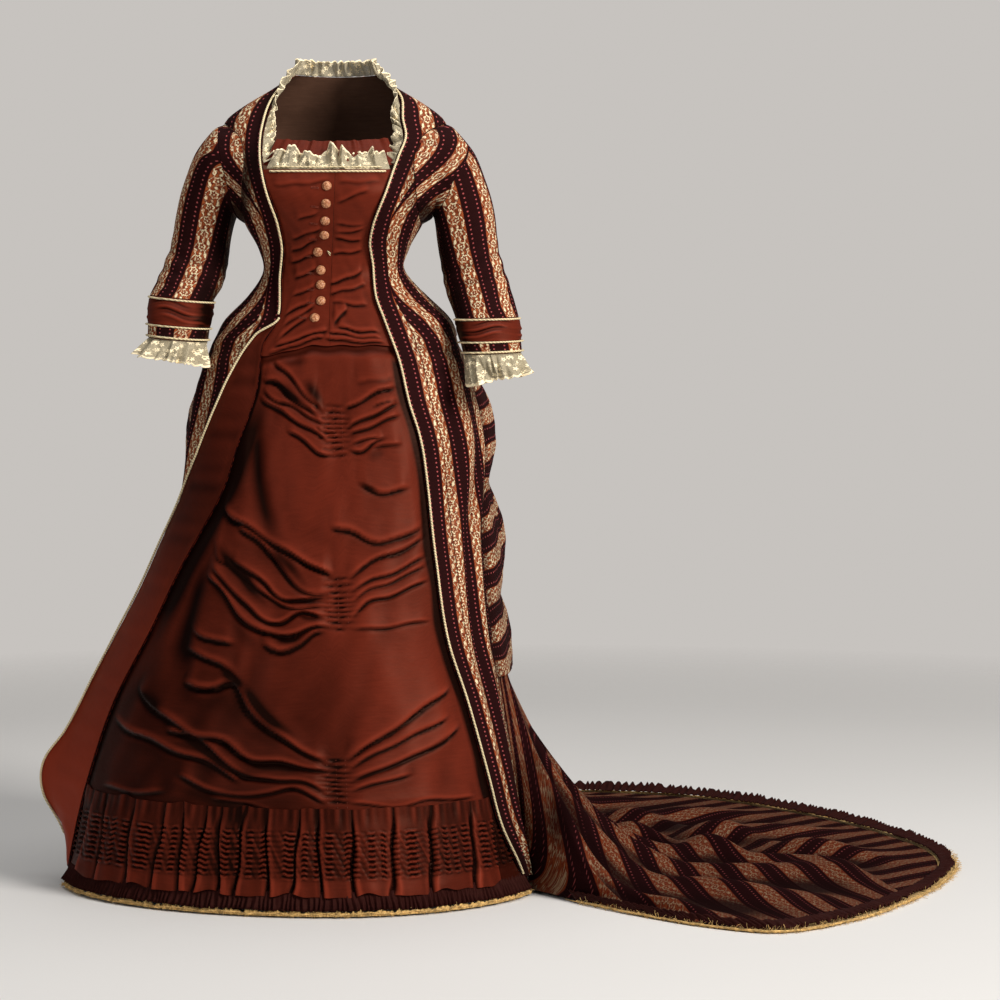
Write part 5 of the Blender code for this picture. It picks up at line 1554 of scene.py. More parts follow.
def build_apron():
    even = np.linspace(0.156, 0.900, 801)
    crowd = 1.0 + sum(0.9 * np.exp(-((even - middle) / 0.046) ** 4) for middle in (0.765, 0.493, 0.212))
    rows = np.concatenate([np.linspace(0.042, 0.150, 8), crowded(even, crowd, 304), [0.912, 0.924]])
    low = -(curve(EDGE_RIGHT, rows) + np.where(rows < 0.32, 2.0, 2.5))
    high = curve(EDGE_LEFT, rows) + 2.2

    def valleys(turn, level):
        """Long soft hollows beside the folds of the right side."""
        line = curve(((0.540, -6.0), (0.620, -17.0), (0.700, -25.0), (0.800, -30.0), (0.900, -33.0)), level)
        first = bell(turn - line, -5.0, 4.0) * ease(level, 0.56, 0.64) * wane(level, 0.74, 0.80)
        line = curve(((0.330, -47.0), (0.430, -48.0), (0.520, -47.0), (0.640, -45.0)), level)
        second = bell(turn, line, 4.5) * ease(level, 0.36, 0.42) * wane(level, 0.50, 0.60)
        return first + second

    def relief(turn, level, share):
        edge = ease(share, 0.02, 0.12) * wane(share, 0.90, 0.97)
        dip = level + waist_dip(turn)
        part = ease(level, 0.165, 0.185) * wane(dip, 0.880, 0.905)
        under = -0.0054 * ease(dip, 0.884, 0.899) - 0.0046 * wane(level, 0.150, 0.166)
        folds = creases(turn, level, APRON_FOLDS, apron_reach)[0]
        soft = 0.0012 * noise_wave(turn * 0.16 + level * 11.0, 4)
        soft = soft + 0.0007 * noise_wave(turn * 0.3 - level * 25.0, 9)
        swell = 0.0040 * bell(level, 0.36, 0.09) + 0.0030 * bell(level, 0.66, 0.08)
        swell = swell + 0.0035 * ease(-turn, 12.0, 34.0) * wane(level, 0.60, 0.66) * ease(level, 0.40, 0.46)
        inside = part * edge * (folds - 0.0045 * valleys(turn, level) + soft + swell
                                + shirring(turn, level))
        return 0.0012 + under + np.maximum(inside, -0.0052)

    even = np.linspace(0.0, 1.0, 401)
    crowd = 1.0 + 1.6 * bell(even, 0.545, 0.06)
    spread = crowded(even, crowd, 156)
    grid, turn, level, stand = field(rows, low, high, spread, relief)
    # Painted shade on the apron: in its hollows and under its folds, beside the edges of the fronts, under
    # the vest's hem, and broadly on its left and low middle; painted highlight on raised spots and fold
    # crests.
    fine = hollows(stand, 3, 3, 0.0020)
    from_edge = turn - low[:, None]
    gloom = wane(from_edge, 7.0, 16.0) * ease(level, 0.36, 0.50) * wane(level, 0.74, 0.88)
    below_vest = wane(level, 0.87, 0.90)
    broken = np.clip(1.0 + 1.1 * noise_wave(level * 22.0, 5), 0.30, 1.0)
    gloom = np.maximum(gloom, wane(from_edge, 3.0, 5.0) * below_vest * broken)
    waver = 0.7 * noise_wave(level * 30.0, 3)
    gloom = np.maximum(gloom, 0.97 * wane(high[:, None] - turn + waver, 4.4, 6.6) * below_vest)
    broad_shade = 0.26 * wane(turn, -42.0, -6.0) * wane(level, 0.84, 0.90)
    broad_shade = broad_shade + 0.50 * wane(level, 0.33, 0.50) * wane(turn, 0.0, 24.0)
    broad_shade = broad_shade + 0.10 * noise_wave(turn * 0.07 + level * 9.0, 3)
    broad_shade = broad_shade + 0.06 * noise_wave(turn * 0.2 - level * 30.0, 6)
    shadow = creases(turn, level, APRON_FOLDS, apron_reach)[1]
    painted_hollows = dark_hollows(turn, level, APRON_HOLLOWS, apron_reach)
    # Painted shadow under the vest's lower edge.
    hem_of_vest = 0.7 * np.exp(-((level + waist_dip(turn) - 0.898) / 0.007) ** 2)
    dark = np.maximum.reduce([fine, hollows(stand, 14, 8, 0.0055), shadow, 0.9 * valleys(turn, level),
                              gloom, painted_hollows, hem_of_vest])
    dark = np.clip(dark, 0.0, 1.0)
    light = np.minimum(0.5 * fine, 0.0) + np.minimum(shadow, 0.0)
    shade = unit_clip(dark + (broad_shade + light) * (1.0 - dark))
    piece = cloth("apron_silk", grid, THIN, "rust_silk", inward=inward_of(turn, level), shade=shade)
    sewn(piece, ["apron"])
    places, facing, along = [], [], []
    for top_turn, top, foot_turn, foot in SHIRRING:
        for share in np.linspace(0.03, 0.97, 11):
            for aside in (-4.2, -0.1, 4.0):
                level_at = np.array(top + (foot - top) * share)
                narrow = 0.20 / (0.16 + 0.17 * (1.0 - top))
                turn_at = np.array(top_turn + (foot_turn - top_turn) * share + aside * narrow)
                normal = form_normal(turn_at, level_at)
                places.append(body(turn_at, level_at, 0.0018))
                facing.append(normal)
                along.append((0.0, 0.0, 1.0))
    seed = points_seed("shirring_stitches", places, facing, along)
    grown(seed, stitch_tree, "rust_thread", {"Length": 0.0022, "Thickness": 0.00028})
    sewn(seed, [])


def pleat_wave(turn):
    """Plateau 0 to 1 of each flat pleat, a deep groove at its edge, and the pleat's number."""
    edges = np.array(PLEAT_EDGES)
    i = np.clip(np.searchsorted(edges, turn, side="right") - 1, 0, len(edges) - 2)
    share = np.clip((turn - edges[i]) / (edges[i + 1] - edges[i]), 0.0, 1.0)
    plateau = ease(share, 0.03, 0.12) * (1.0 - 0.75 * ease(share, 0.30, 0.98))
    groove = bell(share, 0.02, 0.022) + 0.6 * bell(share, 0.985, 0.03)
    return plateau, groove, i


def lean_of(turn, level):
    """Where a spot of the flounce falls in its pleats, which lean and bend a little."""
    lean = 0.9 * np.sin(turn * 0.47 + 1.0) * (level - 0.09) / 0.07
    return turn + lean + 0.35 * np.sin(level * 60.0 + turn * 0.9)


def build_flounce():
    rows = np.linspace(0.0295, 0.1695, 78)
    low = -(curve(EDGE_RIGHT, rows) - 0.6)
    high = curve(EDGE_LEFT, rows) - 0.9

    def relief(turn, level, share):
        plateau, groove, number = pleat_wave(lean_of(turn, level))
        zone = ease(level, 0.054, 0.064) * wane(level, 0.128, 0.138)
        bend = 5.0 * np.sin(number * 2.1)
        pucker = np.sin(level / 0.0082 * math.tau + bend + 1.6 * noise_wave(turn * 0.9 + number, 6))
        cell = np.clip(0.5 + 0.9 * np.sin(turn * 1.35 + 2.0 * np.sin(turn * 0.31)), 0.12, 1.0)
        pucker = pucker * cell
        fine = noise_wave(turn * 2.3 + level * 210.0, 3, 4)
        flare = wane(level, 0.030, 0.075)
        head = ease(level, 0.132, 0.160)
        stand = 0.0034 + 0.0052 * plateau * (0.75 + 0.45 * flare) * (1.0 - 0.6 * head)
        stand = stand - 0.0034 * groove * (1.0 - 0.85 * head)
        stand = stand + zone * (0.0025 * pucker + 0.0006 * fine)
        return stand + head * 0.0012 * noise_wave(turn * 0.8, 6)

    grid, turn, level, stand = field(rows, low, high, 520, relief)
    lift = 0.0035 * noise_wave(turn * 0.33, 8) * ease(level, 0.13, 0.17)
    lift = lift + (0.0030 + 0.0050 * noise_wave(turn * 0.28, 2)) * wane(level, 0.03, 0.06)
    grid[:, :, 2] += np.maximum(lift, -0.0008)
    # Painted shade in the pleats' grooves and small hollows, and broadly above the lowest band and round
    # -24 degrees; small raised spots are painted lighter.
    groove = np.clip(1.5 * pleat_wave(lean_of(turn, level))[1], 0.0, 1.0)
    groove = groove * (1.0 - 0.85 * ease(level, 0.135, 0.155))
    fine = hollows(stand, 2, 6, 0.0016)
    broad_shade = 0.64 * ease(level, 0.050, 0.066) + 0.20 * noise_wave(turn * 0.11, 5)
    broad_shade = broad_shade + 0.30 * bell(turn, -24.0, 9.0)
    dark = np.clip(np.maximum(groove, fine), 0.0, 1.0)
    shade = unit_clip(dark + (broad_shade + np.minimum(fine, 0.0)) * (1.0 - dark))
    piece = cloth("flounce_silk", grid, THIN, "rust_silk", inward=inward_of(turn, level), shade=shade)
    sewn(piece, ["flounce"])
    turn = np.linspace(*HEM_TURNS, 900)
    top = body(turn, 0.0400, 0.0024)
    foot = body(turn, 0.0095 + 0.0014 * noise_wave(turn * 0.2, 3), 0.0092)
    seed = strip_seed("hem_ruffle_silk", top, foot, form_normal(turn, 0.02), 7)
    pleat = bpy.context.scene.dress_sizes.ruffle_pleat
    frill(seed, "plum_silk", 0.0009, pleat, 0.0052, 0.45, 0.10, 0.9, 2.0)
    sewn_strip(seed, "hem_ruffle")
    turn = np.linspace(*HEM_TURNS, 620)
    normal = form_normal(turn, 0.02)
    clump = np.clip(noise_wave(turn * 1.1, 4) + 0.6 * noise_wave(turn * 2.9, 7), -1.0, 1.2)
    top = body(turn, 0.0085 + 0.0035 * clump, 0.0062)
    foot = body(turn, 0.0012 + 0.0 * turn, 0.0078 + 0.0022 * clump)
    seed = strip_seed("hem_lace_band", top, foot, normal, 5)
    frill(seed, "gold_cotton", 0.0010, 0.0052, 0.0013, 0.1, 0.8, 0.6, 5.0)
    sewn_strip(seed, "hem_lace")
    path = body(turn[::6], 0.0048 + 0.0022 * noise_wave(turn[::6] * 0.5, 4), 0.0088 + 0.0016 * clump[::6])
    face = unit(normal[::6] + np.array([0.0, 0.0, -0.30]))
    seed = path_mesh("hem_lace_threads", path, facing=face)
    grown(seed, fray_tree, "gold_cotton", {"Step": 0.0008, "Length": 0.0062, "Thickness": 0.00026,
          "Spread": 1.2, "Core": 0.0013})
    sewn(seed, [])


def build_revers():
    rows = np.linspace(0.034, 0.946, 204)
    fold = -curve(EDGE_RIGHT, rows)
    edge = fold + (-curve(REVERS_EDGE, rows, 1) - fold) * (1.0 - 0.96 * ease(rows, 0.918, 0.946))
    stand = curve(REVERS_EDGE, rows, 2)
    columns = 44
    share = np.linspace(0.0, 1.0, columns)
    turn = edge[:, None] + (fold - edge)[:, None] * share[None, :]
    level = np.repeat(rows[:, None], columns, axis=1)
    out = stand[:, None] + (0.0070 - stand)[:, None] * share[None, :] ** 0.7
    drop = 0.045 * wane(level, 0.030, 0.170) * (1.0 - share[None, :])
    middle = ease(share, 0.08, 0.3)[None, :] * wane(share, 0.85, 1.0)[None, :]
    wave = 0.0010 * noise_wave(level * 26.0 + share[None, :] * 3.0, 3)
    wave = wave + 0.0007 * noise_wave(level * 70.0, 6)
    grid = body(turn, level + drop, out + middle * np.maximum(wave, -0.0006))
    # Painted shade on the upper revers, painted light on its lower part, uneven, and darker in the hollows
    # of its waves.
    shade = 0.66 * ease(level, 0.40, 0.66) - wane(level, 0.12, 0.42) + 0.12 * noise_wave(level * 14.0, 3)
    shade = unit_clip(shade + 0.30 * hollows(wave * middle, 4, 4, 0.0014))
    piece = cloth("revers_silk", grid, 0.0012, "revers_silk", inward=inward_of(turn, level), shade=shade)
    sewn(piece, ["revers"])
    return grid


# Both arms: side, sign of x, rings of the arm, cuff and lace
ARMS = (
    ("right", -1.0, ARM_RIGHT, CUFF_RIGHT, LACE_RIGHT),
    ("left", 1.0, ARM_LEFT, CUFF_LEFT, LACE_LEFT),
)
# Where the sleeves look set in: height, distance from the middle on the right and on the left
SET_IN = ((1.080, 0.150, 0.150), (1.117, 0.160, 0.172), (1.138, 0.165, 0.187), (1.178, 0.173, 0.206),
          (1.205, 0.181, 0.222), (1.235, 0.187, 0.224), (1.270, 0.192, 0.220))


def sleeve_maps(grid, sign, edge):
    """Stripes that run down the arm, the stripes of the front beyond the set-in line, and that line."""
    centres = grid.mean(axis=1)
    down = unit(centres[-1] - centres[0])
    outward = np.array([sign, 0.0, 0.0])
    outward = unit(outward - down * (outward @ down))
    ahead = np.cross(outward, down) * sign
    ahead = ahead * -np.sign(ahead[1])
    ran = (grid - centres[0]) @ down
    steps = (centres - centres[0]) @ down
    middle = np.stack([np.interp(ran, steps, centres[:, k]) for k in range(3)], -1)
    middle = middle + np.minimum(ran, 0.0)[..., None] * down
    away = grid - middle
    angle = np.unwrap(np.arctan2(away @ outward, away @ ahead), axis=1)
    angle = angle - math.tau * np.round((angle[:, :1] + math.radians(124.0)) / (math.tau))
    angle = np.concatenate([angle, angle[:, :1] + math.tau], axis=1)
    ran = np.concatenate([ran, ran[:, :1]], axis=1)
    start = math.radians(bpy.context.scene.dress_sizes.sleeve_turn)
    first = np.stack([(angle - start) * 0.053 + 0.016, ran], -1)
    heights = np.linspace(1.1025, 1.2635, 24)
    swing = np.degrees(np.arcsin((heights - ARM_LEVEL) / ARM_LOOP[0]))
    rim = loop_point(sign, swing, 0.0042)
    share = np.linspace(0.0, 1.0, 30)[None, :]
    start_turn = curve(edge, heights)[:, None]
    turn = start_turn + (90.0 - ARM_LOOP[1] * np.cos(np.radians(swing))[:, None] - start_turn) * share
    width = across_of(body(sign * turn, np.repeat(heights[:, None], 30, axis=1), OVER + 0.0 * turn))[:, -1]
    level = grid[..., 2]
    near = np.stack([np.interp(level, heights, rim[:, k]) for k in range(2)], -1)
    apart = np.interp(level, heights, width) + np.linalg.norm(grid[..., :2] - near, axis=-1)
    second = np.stack([apart + front_dart(level), 1.350 - level], -1)
    second = np.concatenate([second, second[:, :1]], axis=1)
    seam = curve(SET_IN, level, 1 if sign < 0 else 2) - np.abs(grid[..., 0])
    seam = seam - 0.08 * ease(grid[..., 1], -0.004, 0.020) - 0.08 * wane(level, 1.080, 1.112)
    return first, second, seam


def build_sleeves():
    columns = 112
    swing = 236.0 + np.arange(columns) * 360.0 / columns
    for side, sign, arm, _, _ in ARMS:
        coarse = np.array([loop_point(sign, swing, 0.0042)] + [ring(row, sign, swing) for row in arm])
        grid = refine(coarse, 100)
        middle = grid.mean(axis=1, keepdims=True)
        away = unit(grid - middle)
        along = np.linspace(0.0, 1.0, 100)[:, None]
        angle = np.radians(swing)[None, :]
        crook = bell(along, 0.78, 0.10)
        front = 0.5 + 0.5 * np.cos(angle - 0.3)
        wrinkle = 0.0017 * crook * front * np.sin(along * 74.0 + 1.5 * np.sin(angle))
        slack = 0.0018 * np.sin(angle * 3.0 + along * 7.0) * ease(along, 0.12, 0.3) * wane(along, 0.85, 1.0)
        cap = 0.0012 * wane(along, 0.02, 0.16) * ease(along, 0.0, 0.03) * np.sin(angle * 16.0)
        end = wane(along, 0.96, 1.0)
        outer = np.clip(np.sin(angle), 0.0, 1.0) ** 0.7
        full = 0.0105 * outer * ease(along, 0.0, 0.30) * wane(along, 0.42, 0.78)
        lift = (wrinkle + slack + full + cap * np.clip(np.sin(angle), 0.0, 1.0)) * end
        grid = grid + away * lift[..., None]
        first, second, seam = sleeve_maps(grid, sign, EDGE_RIGHT if sign < 0 else EDGE_LEFT)
        # Painted shade on the inner side of each sleeve, in uneven patches, and in the hollows of its
        # wrinkles.
        shade_patches = np.clip(0.95 - 0.25 * np.sin(along * 21.0 + angle * 3.0), 0.0, 1.0)
        shade = ease(-np.sin(angle), 0.30, 0.70) * shade_patches
        shade = unit_clip(np.maximum(shade, 0.6 * hollows(lift, 3, 4, 0.0018)))
        piece = cloth("sleeve_" + side + "_cloth", grid, WALL, "striped_seamed_cloth", closed=True,
                      inward=-away, uv=first, beyond=second, seam=seam, shade=shade, lined=True)
        sewn(piece, ["sleeve_" + side])


def build_cuffs():
    columns = 180
    swing = np.arange(columns) * 360.0 / columns
    angle = np.radians(swing)[None, :]
    for side, sign, _, cuff, lace in ARMS:
        grid = refine(np.array([ring(row, sign, swing) for row in cuff]), 46)
        away = unit(grid - grid.mean(axis=1, keepdims=True))
        along = np.linspace(0.0, 1.0, 46)[:, None]
        puff = np.sin(math.pi * np.clip(along / 0.68, 0.0, 1.0)) ** 0.7
        slope = along * 27.0 + 2.2 * np.sin(angle * 2.0 + 0.7) + 0.8 * np.sin(angle * 5.0)
        some = np.clip(0.5 + 0.8 * np.sin(angle * 3.0 + along * 5.0), 0.1, 1.0)
        lift = 0.0022 * puff + 0.0013 * puff * some * (np.sin(slope) + 0.4 * np.sin(slope * 2.3 + 1.0))
        for line in (0.69, 0.985):
            lift = lift - 0.0012 * bell(along, line, 0.02)
        grid = grid + away * lift[..., None]
        # Painted shade over the cuff, in its hollows, and darker on its inner side.
        shade = unit_clip(0.12 + hollows(lift, 3, 3, 0.0010) + 0.9 * ease(-np.sin(angle), 0.45, 0.85))
        piece = cloth("cuff_" + side + "_silk", grid, WALL, "rust_silk", closed=True, inward=-away,
                      shade=shade)
        piece.data.materials.append(look_of("striped_cloth"))
        band = np.zeros(len(piece.data.polygons), np.int32)
        band[31 * columns:44 * columns] = 1
        piece.data.polygons.foreach_set("material_index", band)
        sewn(piece, ["cuff_" + side])
        count = 640
        around = np.arange(count) * 360.0 / count
        rings = refine(np.array([ring(row, sign, around, -0.0006) for row in lace]), 12)
        outward = unit(rings[-1] - rings[-1].mean(axis=0))
        uneven = (0.0030 * noise_wave(np.radians(around) * 4.0, 3))[:, None] * unit(rings[-1] - rings[0])
        tip = rings[0] + 0.80 * (rings[-1] - rings[0]) + uneven
        seed = strip_seed("cuff_lace_" + side + "_work", rings[0], tip, outward, 13, True, 0.075)
        frill(seed, "lace", NET, 0.0300, 0.0105, 0.0, 0.12, 0.8, 3.0 + sign)
        sewn_strip(seed, "cuff_lace_" + side)


def smooth_cord(name, nodes, path, closed=False, radius=CORD):
    """Silk-covered cord along a path, in place of its nodes."""
    seed = path_mesh(name, path, closed)
    grown(seed, piping_tree, "cream_cord", {"Radius": radius, "Step": 0.0028, "Unevenness": 0.0005})
    sewn(seed, nodes)


def build_pipings(revers_grid):
    rows = np.linspace(0.951, 1.332, 156)
    stand = OVER + CORD + 0.0019
    turn = -curve(EDGE_RIGHT, rows) - turn_for(0.0022, -40.0, rows)
    smooth_cord("piping_front_right_cord", ["piping_front_right"], body(turn, rows, stand))
    rows = np.linspace(0.036, 1.332, 500)
    turn = curve(EDGE_LEFT, rows) + turn_for(0.0022, 40.0, rows)
    smooth_cord("piping_front_left_cord", ["piping_front_left"], body(turn, rows, stand))
    line = revers_grid[:, 0] * 0.93 + revers_grid[:, 1] * 0.07
    normal = grid_normal(revers_grid)[:, 0]
    if np.sum(normal * (line - np.array([0.0, 0.0, 0.5]))) < 0.0:
        normal = -normal
    smooth_cord("piping_revers_cord", ["piping_revers"], line + normal * (CORD + 0.0006))
    turn = np.linspace(-38.0, 40.0, 120)
    path = body(turn, 1.1860, CORD + 0.0004)
    smooth_cord("piping_neckline_cord", ["piping_neckline"], path, radius=0.0017)
    path = body(turn[3:-3], 1.1925, 0.0030)
    smooth_cord("piping_lace_band_cord", [], path, radius=0.0011)
    for side, sign, _, cuff, _ in ARMS:
        around = np.arange(140) * 360.0 / 140
        for label, index, share in (("top", 0, 0.09), ("low", 2, 0.09), ("middle", 2, 0.62)):
            row = (1.0 - share) * np.array(cuff[index]) + share * np.array(cuff[1])
            path = ring(row, sign, around, CORD + 0.0004 + (0.0012 if label == "middle" else 0.0))
            nodes = [] if label == "middle" else ["piping_cuff_" + side + "_" + label]
            radius = 0.0014 if label == "middle" else 0.0016
            smooth_cord("piping_cuff_" + side + "_" + label + "_cord", nodes, path, True, radius)


def build_neckline():
    turn = np.linspace(-41.0, 44.0, 480)
    normal = form_normal(turn, 1.1907)
    base = body(turn, 1.1907, -0.0002)
    knot = bell(turn, 3.0, 3.2)
    rise = 0.031 + 0.0035 * noise_wave(turn * 0.16, 4) - 0.007 * bell(turn, -12.0, 9.0) + 0.007 * knot
    tip = body(turn, 1.1907 + rise, 0.0035 + 0.006 * knot)
    seed = strip_seed("neck_lace_front_work", base, tip, normal, 13, False, 0.07)
    frill(seed, "lace", NET, 0.036, 0.0085, 0.0, 0.22, 0.7, 6.0)
    sewn_strip(seed, "neck_lace_front")
    turn = np.linspace(-46.0, 50.0, 180)
    share = np.linspace(0.0, 1.0, 24)[:, None]
    base = body(turn, 1.194 + 0.0040 * (turn / 40.0) ** 2, -0.0034)
    tip = body(turn, 1.240 + 0.0030 * (turn / 40.0) ** 2, -0.0050)
    normal = form_normal(turn, 1.22)
    grid = base[None] * (1.0 - share[..., None]) + tip[None] * share[..., None]
    pucker = 0.0016 * noise_wave(turn * 0.5, 5)[None, :] * share
    grid = grid + normal[None] * pucker[..., None]
    piece = cloth("neck_strip_silk", grid, THIN, "rust_silk", inward=-np.repeat(normal[None], 24, axis=0))
    sewn(piece, ["neck_strip"])
    rows = np.linspace(1.198, 1.344, 60)
    right = body(-curve(EDGE_RIGHT, rows), rows, 0.0034)
    left = body(curve(EDGE_LEFT, rows[::-1]), rows[::-1], 0.0034)
    around = np.linspace(269.5, 90.5, 60)
    path = np.concatenate([right, body(around, 1.344, 0.0034), left])
    step = np.linalg.norm(np.diff(path, axis=0), axis=1)
    path = path[np.concatenate([[True], step > 1e-6])]
    run = across_of(path[None])[0]
    along = np.linspace(0.0, run[-1], 640)
    base = np.stack([np.interp(along, run, path[:, k]) for k in range(3)], axis=-1)
    centre = np.array([0.0, 0.020, 0.0])
    inward = unit((centre - base) * np.array([1.0, 1.0, 0.0]))
    high = np.minimum(ease(along, 0.05, 0.165), ease(run[-1] - along, 0.05, 0.165))
    base = base + inward * 0.0014 + np.array([0.0, 0.0, 0.0008])
    across = (0.021 - 0.014 * high + 0.003 * noise_wave(along * 60.0, 3))[:, None] * inward
    rise = (0.004 + 0.022 * high)[:, None] * UP
    tip = base + across + rise
    side = unit(np.cross(np.gradient(base, axis=0), tip - base))
    side = side * np.sign(np.sum(side * (base - centre), axis=1))[:, None]
    seed = strip_seed("neck_lace_work", base, tip, side, 11, False, 0.09)
    frill(seed, "lace", NET, 0.0210, 0.0062, 0.0, 0.20, 0.9, 9.0)
    sewn(seed, ["neck_lace"])


def build_buttons():
    places, facing = [], []
    for height, degrees, stand in BUTTONS:
        places.append(body(np.array(degrees), np.array(height), stand))
        facing.append(form_normal(np.array(degrees), np.array(height)))
    seed = points_seed("vest_buttons", places, facing)
    sizes = bpy.context.scene.dress_sizes
    grown(seed, button_tree, "copper_brocade", {"Radius": sizes.button_width / 2.0, "Rise": 0.0053})
    sewn(seed, ["button_" + str(k + 1) for k in range(len(BUTTONS))])


def outline(share):
    """Point of the floor outline at a share of its length."""
    table = np.array(OUTLINE)
    step = np.linalg.norm(np.diff(table, axis=0), axis=1)
    run = np.concatenate([[0.0], np.cumsum(step)]) / step.sum()
    rows_x = np.column_stack([run, table[:, 0]])
    rows_y = np.column_stack([run, table[:, 1]])
    return np.stack([curve(rows_x, share), curve(rows_y, share)], axis=-1)


# The seam of the train on the floor plan, where its stripes meet at a slant: x, y
TRAIN_SEAM = (
    (0.250, 0.700), (0.330, 0.550), (0.495, 0.441), (0.709, 0.221), (0.879, 0.132), (0.948, -0.086),
    (0.900, -0.300),
)


def train_grid(across, down):
    """Train surface: falls from the knee, then lies on the floor in soft folds."""
    u = np.linspace(0.0, 1.0, across)
    v = np.linspace(0.0, 1.0, down)
    left_turn = curve(SIDE, TRAIN_TOP, 2) + 0.5
    right_turn = 359.5 - curve(SIDE, TRAIN_TOP, 1)
    top_turn = left_turn + (right_turn - left_turn) * u ** 0.92
    start = body(top_turn, TRAIN_TOP, -0.0050)
    rim = outline(u)
    flat = unit(rim - TRAIN_MIDDLE)
    end = rim - flat * (TRAIN_RUFFLE * 0.9)
    u2, v2 = np.meshgrid(u, v)
    travel = 0.30 * v2 + 0.70 * v2 ** 1.6
    plan = start[None, :, :2] * (1.0 - travel[..., None]) + end[None] * travel[..., None]
    gone = np.linalg.norm(plan - start[None, :, :2], axis=-1)
    reach = np.linalg.norm(end - start[:, :2], axis=-1)
    touch = np.minimum(0.40, reach * 0.95)[None]
    drop = np.clip(1.0 - gone / touch, 0.0, 1.0)
    level = EDGE_TOP + (TRAIN_TOP - EDGE_TOP) * drop ** 1.9
    beside = off_line(plan, TRAIN_SEAM)
    ridge = np.sin(u2 * math.tau * 6.5 + 0.8 * np.sin(v2 * 5.0)) ** 2
    body_fold = ease(gone, 0.02, 0.20) * wane(v2, 0.80, 1.0)
    side_fade = ease(u2, 0.02, 0.10) * wane(u2, 0.90, 0.98)
    fine = noise_wave(u2 * 55.0 + v2 * 4.0, 4, 4) * 0.0035
    fine = fine + noise_wave(plan[..., 0] * 19.0 - plan[..., 1] * 13.0, 7) * 0.0030
    flat_valley = 1.0 - bell(beside, -0.020, 0.042)
    lap = 0.020 * bell(beside, 0.034, 0.030) + 0.012 * bell(beside, -0.110, 0.030)
    folds = 0.022 * ridge ** 1.5 * flat_valley + lap
    level = level + (folds + np.maximum(fine, -0.003)) * body_fold * side_fade
    grid = np.concatenate([plan, level[..., None]], axis=-1)
    levels = TRAIN_TOP * (1.0 - v) + EDGE_TOP * v
    for turn_sign in (1.0, -1.0):
        turn = curve(SIDE, levels, 2 if turn_sign > 0 else 1)
        turn = turn + turn_for(0.0034, turn, levels)
        turn = turn if turn_sign > 0 else 360.0 - turn
        edge = body(turn, levels, 0.0 * levels)
        side_u = u2 if turn_sign > 0 else 1.0 - u2
        blend = wane(side_u, 0.0, 0.09)[..., None]
        grid = grid * (1.0 - blend) + edge[:, None, :] * blend
    return grid


def off_line(points, line):
    """Signed distance of plan points from a line of points, positive on its right."""
    best = np.full(points.shape[:-1], 1e9)
    signed = np.zeros(points.shape[:-1])
    line = np.array(line)
    for a, b in zip(line[:-1], line[1:]):
        along = np.clip(((points - a) @ (b - a)) / np.dot(b - a, b - a), 0.0, 1.0)
        away = points - (a + along[..., None] * (b - a))
        distance = np.linalg.norm(away, axis=-1)
        sign = np.sign((b - a)[0] * away[..., 1] - (b - a)[1] * away[..., 0])
        closer = distance < best
        best = np.where(closer, distance, best)
        signed = np.where(closer, -sign * distance, signed)
    return signed


